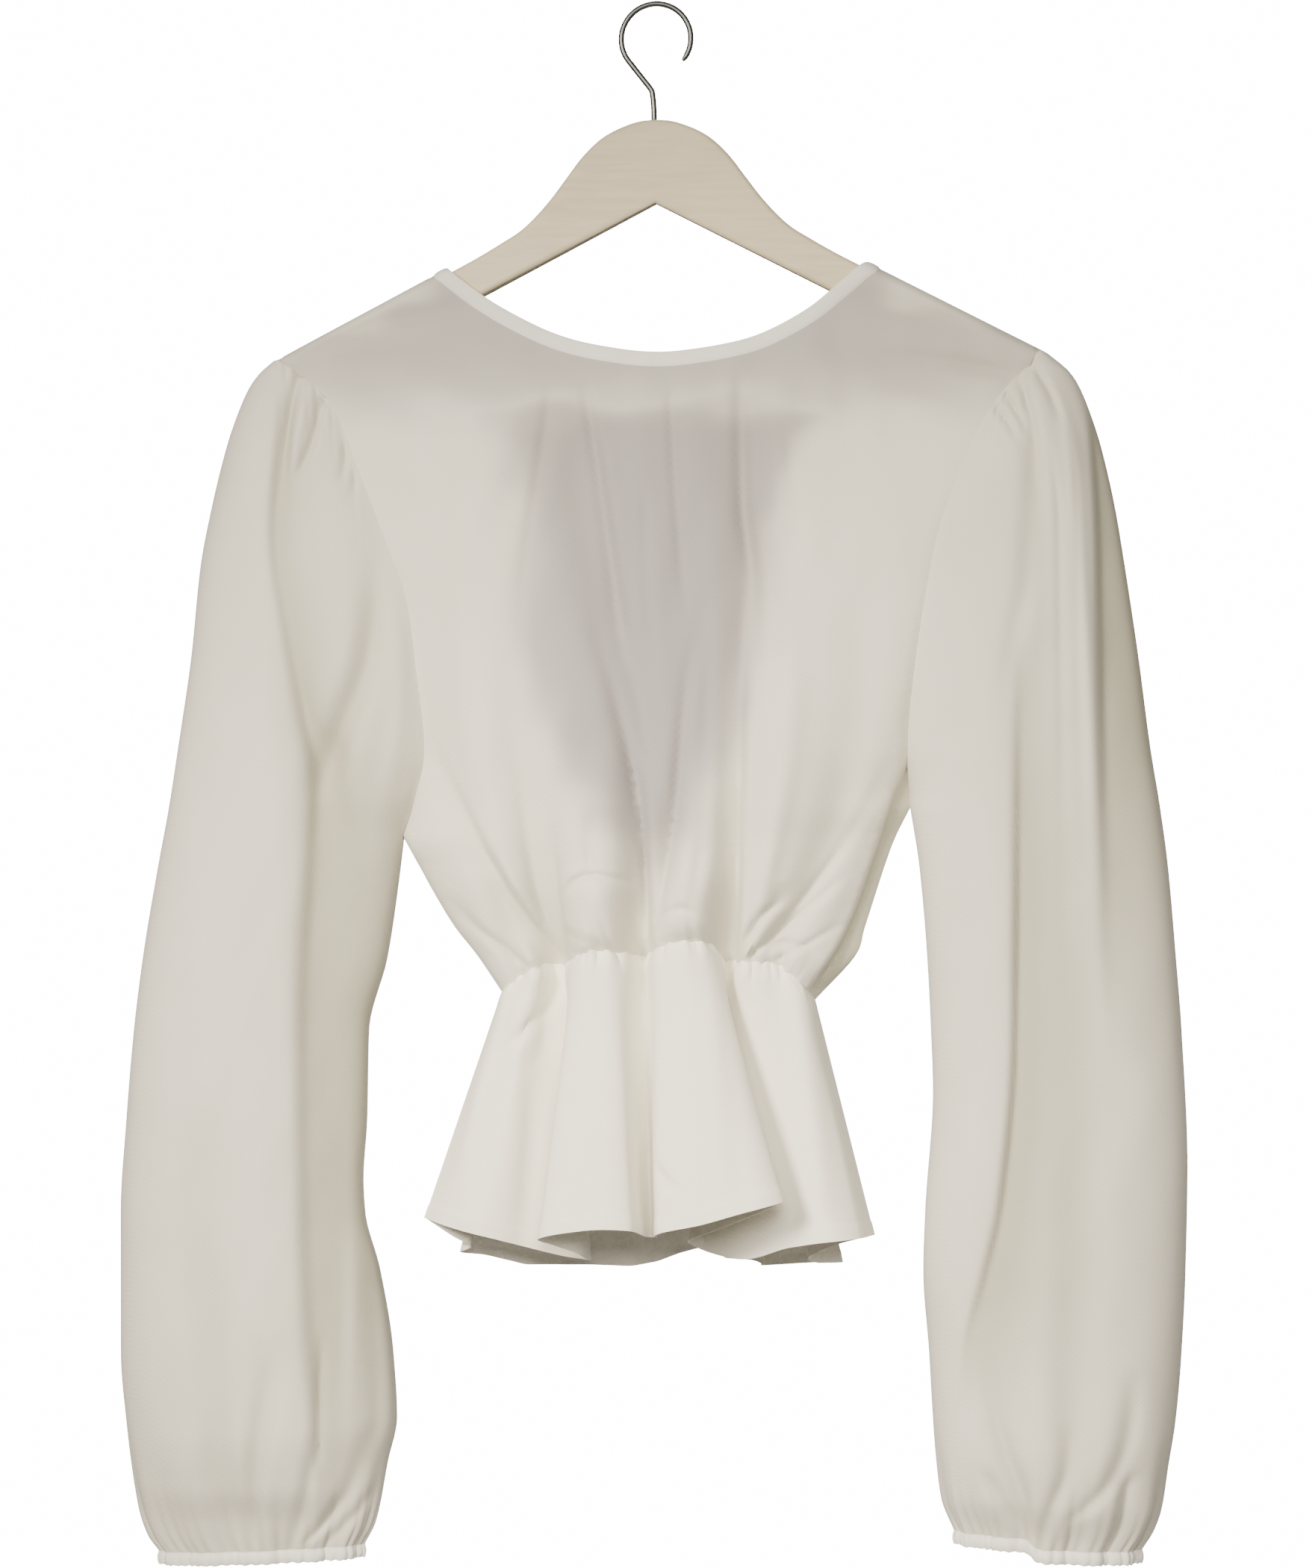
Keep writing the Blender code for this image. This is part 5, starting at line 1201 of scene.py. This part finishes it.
# Folds of each sleeve's front, the main ones first: drop, across, half width, depth
SLEEVE_FOLDS = {
    -1: {
        "drape": [(300, -190, 10, 0), (362, -183, 12, 4), (400, -173, 14, 7), (467, -168, 16, 6),
                  (571, -166, 17, 5), (660, -164, 17, 4), (740, -164, 14, 3), (800, -168, 8, 0)],
        "inner_branch": [(280, -142, 7, 0), (336, -147, 7, 7), (385, -164, 9, 7), (415, -174, 9, 0)],
        "lower_ridge": [(560, -158, 4, 0), (610, -158, 4, -2.6), (690, -157, 4, -2.6), (760, -158, 4, 0)],
        "lower_side": [(600, -150, 5, 0), (660, -148, 5, 5), (740, -145, 5, 5), (790, -152, 5, 0)],
        "outer": [(560, -240, 14, 0), (680, -232, 14, 5), (780, -222, 9, 4), (812, -215, 7, 0)],
        "cap_pleat": [(185, -187, 2.6, 0), (194, -189, 2.6, 4), (222, -192, 3.2, 4.6), (240, -193, 4, 3.4),
                      (262, -194, 6, 2), (320, -188, 8, 0)],
        "cap_second": [(196, -174, 2, 0), (204, -174.7, 2.2, 3.4), (226, -178, 2.6, 3.4),
                       (242, -184, 3.4, 2.6), (250, -188, 4, 0)],
        "cap_third": [(208, -159, 2, 0), (218, -159.5, 2, 3.2), (236, -161, 2.2, 2.4), (252, -163, 3, 0)],
        "cap_fourth": [(224, -151, 1.8, 0), (232, -152, 2, 2.4), (246, -155, 2.4, 1.6), (262, -158, 3, 0)],
        "cap_ridge": [(192, -181, 3, 0), (214, -184, 3.6, -2.8), (232, -187, 4, -2.4), (252, -188, 4, 0)],
        "seam_side": [(300, -136, 5, 0), (350, -130, 5, -2), (420, -140, 6, -1.6), (470, -150, 7, 0)],
        "low_trough": [(690, -196, 9, 0), (718, -199, 8, 4), (748, -204, 7, 5), (786, -209, 5, 4),
                       (810, -211, 3, 2)],
        "low_sharp": [(690, -173, 3, 0), (720, -173.5, 2.6, 3.2), (752, -174, 2.4, 2.4), (766, -175, 3, 0)],
        "low_middle": [(740, -175, 4, 0), (768, -179, 4, 3.2), (792, -185, 4, 3.6), (810, -190, 3, 2)],
        "low_big": [(738, -148, 5, 0), (752, -151, 5, 4), (778, -160, 5, 5), (796, -173, 4.5, 4.4),
                    (809, -184, 3, 2)],
        "low_edge": [(770, -143, 4, 0), (784, -152, 4, 3.2), (800, -164, 3.4, 3), (811, -172, 3, 1)],
        "crossing": [(560, -232, 20, 0), (600, -226, 18, 1.8), (650, -214, 18, 0)],
    },
    1: {
        "drape": [(330, 192, 12, 0), (365, 194, 14, 3), (467, 198, 16, 4), (571, 194, 17, 4),
                  (676, 182, 17, 4), (744, 182, 12, 4), (790, 186, 7, 0)],
        "outer_branch": [(200, 205, 8, 0), (260, 236, 8, 2), (320, 242, 8, 2), (400, 246, 9, 1),
                         (520, 248, 10, 0)],
        "fine_left": [(230, 205, 2.2, 0), (270, 210, 2.4, 1.5), (400, 212, 3, 1.2), (520, 214, 4, 0)],
        "fine_right": [(220, 215, 2, 0), (260, 219, 2.2, 1.3), (340, 221, 2.6, 1.1), (430, 223, 3, 0)],
        "pink_edge": [(216, 190, 4, 0), (250, 196, 5, 2.4), (300, 194, 6, 2.6), (340, 186, 6, 1.6),
                      (380, 180, 6, 0)],
        "middle": [(430, 218, 12, 0), (560, 222, 14, 5), (700, 218, 14, 5), (790, 216, 8, 0)],
        "cap_pleat": [(194, 188, 2.4, 0), (204, 192, 2.8, 3.6), (224, 197, 3.4, 3.6), (250, 200, 4.4, 2.6),
                      (300, 203, 6.5, 1.6), (400, 202, 9, 0)],
        "cap_ridge": [(196, 206, 3, 0), (230, 216, 4, -2.4), (290, 221, 4, -3), (380, 226, 4.5, -2.6),
                      (480, 232, 5, 0)],
        "cap_short": [(202, 181, 2, 0), (208, 184, 2.2, 3.2), (218, 190, 2.4, 2.6), (228, 194, 3, 0)],
        "cap_low": [(208, 175, 2, 0), (213, 178, 2.2, 3), (222, 185, 2.4, 2.2), (232, 189, 3, 0)],
        "cap_top": [(186, 195, 2, 0), (194, 199, 2.2, 2.8), (207, 206, 2.6, 2.4), (224, 212, 3, 0)],
        "low_left": [(690, 172, 6, 0), (728, 178, 5, 3), (770, 191, 4.4, 3.6), (790, 196, 3.6, 2.4),
                     (800, 198, 3, 1)],
        "low_centre": [(730, 216, 5, 0), (752, 215, 4.6, 3), (778, 206, 4, 3.2), (799, 201, 3.2, 1.4)],
        "low_right": [(700, 249, 6, 0), (733, 246, 5, 3.2), (758, 238, 5, 3.6), (774, 226, 4.4, 2.8),
                      (784, 216, 4, 0)],
        "low_hook": [(756, 249, 4, 0), (764, 245, 4, 3.4), (782, 242, 4, 2.8), (799, 233, 3, 1.4)],
        "low_corner": [(778, 262, 4, 0), (788, 255, 3.6, 2.8), (799, 249, 3, 1.6)],
        "low_dimple": [(756, 172, 5, 0), (768, 177, 5, 2.4), (782, 184, 4, 2), (794, 188, 3, 0)],
    },
}
# Folds of each sleeve's back, with the same columns
SLEEVE_BACK_FOLDS = {
    -1: {
        "upper": [(230, -185, 12, 0), (330, -196, 14, 7), (470, -206, 15, 9), (640, -212, 16, 7),
                  (770, -208, 10, 0)],
        "lower": [(420, -160, 10, 0), (520, -176, 12, 6), (680, -176, 14, 7), (780, -186, 9, 0)],
        "cap_pleat": [(192, -186, 3, 0), (206, -190, 3.6, 2.6), (240, -194, 5, 2.8), (320, -200, 8, 0)],
        "low_inner": [(700, -156, 6, 0), (750, -160, 5, 3.4), (800, -176, 3.6, 2.4), (812, -180, 3, 1)],
        "low_outer": [(690, -240, 8, 0), (740, -238, 6, 3.6), (790, -230, 4.4, 3), (811, -224, 3, 1)],
    },
    1: {
        "upper": [(230, 188, 12, 0), (330, 200, 14, 7), (470, 208, 15, 8), (640, 214, 16, 8),
                  (765, 206, 10, 0)],
        "lower": [(400, 164, 10, 0), (520, 174, 12, 6), (680, 172, 14, 7), (775, 186, 9, 0)],
        "cap_pleat": [(196, 190, 3, 0), (212, 194, 3.6, 2.6), (246, 198, 5, 2.8), (330, 204, 8, 0)],
        "low_inner": [(690, 158, 6, 0), (740, 166, 5, 3.2), (786, 180, 3.6, 2.4), (799, 184, 3, 1)],
        "low_outer": [(700, 246, 8, 0), (744, 240, 6, 3.6), (780, 232, 4.4, 3), (799, 226, 3, 1)],
    },
}
# Lines where a sleeve turns down to the right: drop, across, half width, depth, reach
SLEEVE_OVERLAPS = {
    -1: {
        "inner_side": [(196, -197, 2.4, 0, 14), (212, -197, 2.4, 4, 14), (272, -199, 2.6, 6, 15),
                       (332, -190, 2.8, 6.5, 17), (373, -183, 2.8, 7.5, 20), (403, -178, 3, 8, 34),
                       (450, -180, 3, 8, 70), (530, -184, 3, 7.5, 90), (620, -183, 3, 7, 80),
                       (700, -179, 3, 6.5, 50), (750, -175, 2.4, 5, 24), (790, -175, 3, 0, 20)],
    },
    1: {
        "outer_side": [(184, 220, 2, 0, 120), (206, 224, 1.6, 7, 120), (280, 229, 1.6, 10, 120),
                       (340, 230, 1.8, 9, 120), (400, 231, 2.6, 6.5, 90), (480, 233, 3.4, 4, 60),
                       (560, 238, 5, 0, 50)],
        "inner_band": [(320, 191, 4, 0, 22), (375, 189, 2.6, 4, 24), (450, 188, 1.8, 7, 26),
                       (540, 187, 1.8, 7.5, 28), (620, 180, 2, 7.5, 30), (660, 171, 2.2, 7, 32),
                       (690, 163, 2.4, 5, 28), (732, 158, 4, 0, 20)],
    },
}


def gather_cap(side, across, drop):
    """Small pleats that hang from the gathered top of the armhole seam.

    Waves along the seam make their widths, depths and lengths uneven.
    """
    rows = np.array([(abs(x), d) for d, x, _ in BODY_EDGE[side] if d <= CAP_ENDS])
    order = np.argsort(rows[:, 0])
    seam_drop = np.interp(np.abs(across), rows[order, 0], rows[order, 1])
    below = np.maximum(drop - seam_drop, 0.0)
    where = np.abs(across) + CAP_LEAN * below
    on_cap = ramp(where - CAP_FROM, CAP_SOFT[0]) * ramp(CAP_TO - where, CAP_SOFT[1])
    pleats = np.cos(2 * math.pi * (where / CAP_PLEAT + 0.35 * np.sin(where / 7.0)))
    uneven = 0.65 + 0.35 * np.sin(where / 3.1 + 1.0)
    dies = np.exp(-below / (CAP_REACH + CAP_REACH * np.sin(where / 4.3) ** 2))
    return CAP_PLEAT_DEPTH * pleats * uneven * on_cap * dies


def sleeve_row(side, drop, start=0.0, seams=None):
    """One row of sleeve points, round from the front of the body by the outside to the back.

    start is the angle left open at the body, and seams are the armhole's front and back points there.
    """
    outer = float(read(SLEEVE_OUTER[side], drop)[0])
    inner = float(read(SLEEVE_INNER[side], drop)[0]) if seams is None else seams[0][0] / MM
    half_depth = float(read(SLEEVE_HALF_DEPTH, drop)[0])
    half_width = abs(inner - outer) / (1 + math.cos(start))
    share = np.linspace(0, 1, SLEEVE_COLUMNS + 1)
    angle = start + (2 * math.pi - 2 * start) * share
    across = outer - side * half_width - side * half_width * np.cos(angle)
    depth = -half_depth * np.sin(angle)
    if seams is not None:
        front = share < 0.5
        seam_depth = np.where(front, seams[0][1], seams[1][1]) / MM
        arc_depth = -half_depth * math.sin(start) * np.where(front, 1, -1)
        depth = depth + (seam_depth - arc_depth) * np.maximum(0.0, 1 - 4 * np.minimum(share, 1 - share)) ** 2
    facing = np.sin(angle)
    drops = np.full_like(across, drop)
    steps = sum(overlap(rows, drops, across) for rows in SLEEVE_OVERLAPS[side].values())
    steps = np.where(facing > 0, steps, 0.0)
    cap = gather_cap(side, across, drops)
    front_push = fold_depth(SLEEVE_FOLDS[side], drops, across) + steps + cap
    front_push = front_push + soft_waves(across, drops, seed=50 + side, height=0.45)
    back_push = fold_depth(SLEEVE_BACK_FOLDS[side], drops, across) + cap
    back_push = back_push + soft_waves(across, drops, seed=60 + side, height=0.45)
    calm = 1.0 if seams is None else ramp(np.minimum(share, 1 - share), CALM_SHARE)
    push = np.where(facing > 0, front_push, back_push)
    depth = depth + push * facing * calm
    # Painted shade down in the folds and beside the lines where the sleeve turns down
    return across, depth, angle, share, (push / FULL_SHADE + STEP_SHADE * steps) * calm


def cuff_pull(side, across, depth, angle, share, drop, end):
    """Draw a row of the sleeve into the cuff's pleats, and tilt it as the cuff hangs."""
    pulled = max(0.0, (drop - CUFF_GATHER_FROM) / (end - CUFF_GATHER_FROM))
    chance = np.random.default_rng(70 + side)
    fine = 0.0
    height = max(0.0, end - drop)
    for k in range(CUFF_PLEATS):
        middle = (k + 0.5 + chance.uniform(-0.25, 0.25)) / CUFF_PLEATS
        reach, deep = chance.uniform(5.0, 26.0), chance.uniform(0.6, 1.9)
        gap = (share - middle + 0.5) % 1.0 - 0.5
        pleat = np.exp(-(gap * CUFF_PLEATS / CUFF_PLEAT_HALF) ** 2)
        fine = fine - deep * pleat * math.exp(-(height / reach) ** 1.4)
    wave = pulled * CUFF_GATHER * 0.5 * np.cos(2 * math.pi * CUFF_GATHERS * share) + fine
    tilt = max(0.0, (drop - CUFF_TILT_FROM) / (end - CUFF_TILT_FROM)) ** 2 * CUFF_TILT[side]
    slope = 0.5 + 0.5 * np.cos(angle)
    if side > 0:
        slope += CUFF_STEP_SHARE * (soft_step(CUFF_STEP - across, CUFF_STEP_SOFT) - slope)
    # Painted shade down in the cuff's pleats
    shade = -fine / CUFF_FULL_SHADE
    return across - side * wave * np.cos(angle), depth - wave * np.sin(angle), drop - tilt * slope, shade


for side, name in SIDES.items():
    front_seam, back_seam = armhole_seam(side, -1), armhole_seam(side, 1)
    underarm, end = UNDERARM[side], SLEEVE_END[side]
    rows, shades = [], []
    for k in range(ARMHOLE_STEPS - 1, 0, -1):
        drop = -front_seam[k, 2] / MM
        start = UNDERARM_TURN * (k / ARMHOLE_STEPS) ** UNDERARM_EASE
        across, depth, angle, share, shade = sleeve_row(side, drop, start, (front_seam[k], back_seam[k]))
        row = place(across, depth, drop)
        row[0], row[-1] = front_seam[k], back_seam[k]
        rows.append(row)
        shades.append(shade)
    for k in range(SLEEVE_ROWS + 1):
        drop = underarm + (end - underarm) * (1 - (1 - k / SLEEVE_ROWS) ** ROWS_CLOSE_UP)
        across, depth, angle, share, shade = sleeve_row(side, drop)
        across, depth, low, pleat = cuff_pull(side, across, depth, angle, share, drop, end)
        shades.append(shade + pleat)
        row = place(across, depth, low)
        row[-1] = row[0]
        if k == 0:
            row[0] = row[-1] = front_seam[0]
        rows.append(row)
    columns = SLEEVE_COLUMNS + 1
    points = np.vstack(rows + [front_seam[-1:]])
    faces = grid_faces(len(rows), columns)
    shoulder_point = np.full(SLEEVE_COLUMNS, len(points) - 1)
    top = np.stack([shoulder_point, np.arange(1, columns), np.arange(columns - 1)], axis=1)
    faces = np.vstack([faces, top])

    def away_from_arm(middles, side=side):
        """Outward on a sleeve: away from the line down its middle."""
        drop = -middles[:, 2] / MM
        middle = (read(SLEEVE_OUTER[side], drop)[:, 0] + read(SLEEVE_INNER[side], drop)[:, 0]) / 2
        return middles - place(middle, 0.0, drop)

    shade = np.append(np.concatenate(shades), 0.0)
    sleeve = sew_piece("sleeve_full_" + name, points, faces, CLOTH, away_from_arm, shade)
    show(sleeve, "sleeve_" + name, cloth_material("sleeve_cloth_" + name, SLEEVE_SHADED_LIGHT, SLEEVE_SHADED_DARK))

    across, depth, angle, share, _ = sleeve_row(side, end)
    across, depth, low, _ = cuff_pull(side, across, depth, angle, share, end, end)
    fine = np.cos(2 * math.pi * CUFF_RIDGES * share)
    band = []
    for t in np.linspace(0, 1, CUFF_ROWS + 1):
        arch = max(0.0, math.sin(math.pi * t))
        ridge = CUFF_ROUND * arch**0.6 - CUFF_DRAWN * (1 - arch) + CUFF_FINE * fine * t
        row = place(across - side * ridge * np.cos(angle), depth - ridge * np.sin(angle),
                    low + CUFF_HEIGHT * t + CUFF_SCALLOP * fine * t)
        row[-1] = row[0]
        band.append(row)
    band[0] = rows[-1]
    faces = grid_faces(len(band), columns)
    cuff = sew_piece("cuff_band_" + name, np.vstack(band), faces, CUFF_THICK, away_from_arm)
    show(cuff, "cuff_" + name, cloth_material("cuff_cloth_" + name, BINDING_LIGHT, BINDING_DARK))
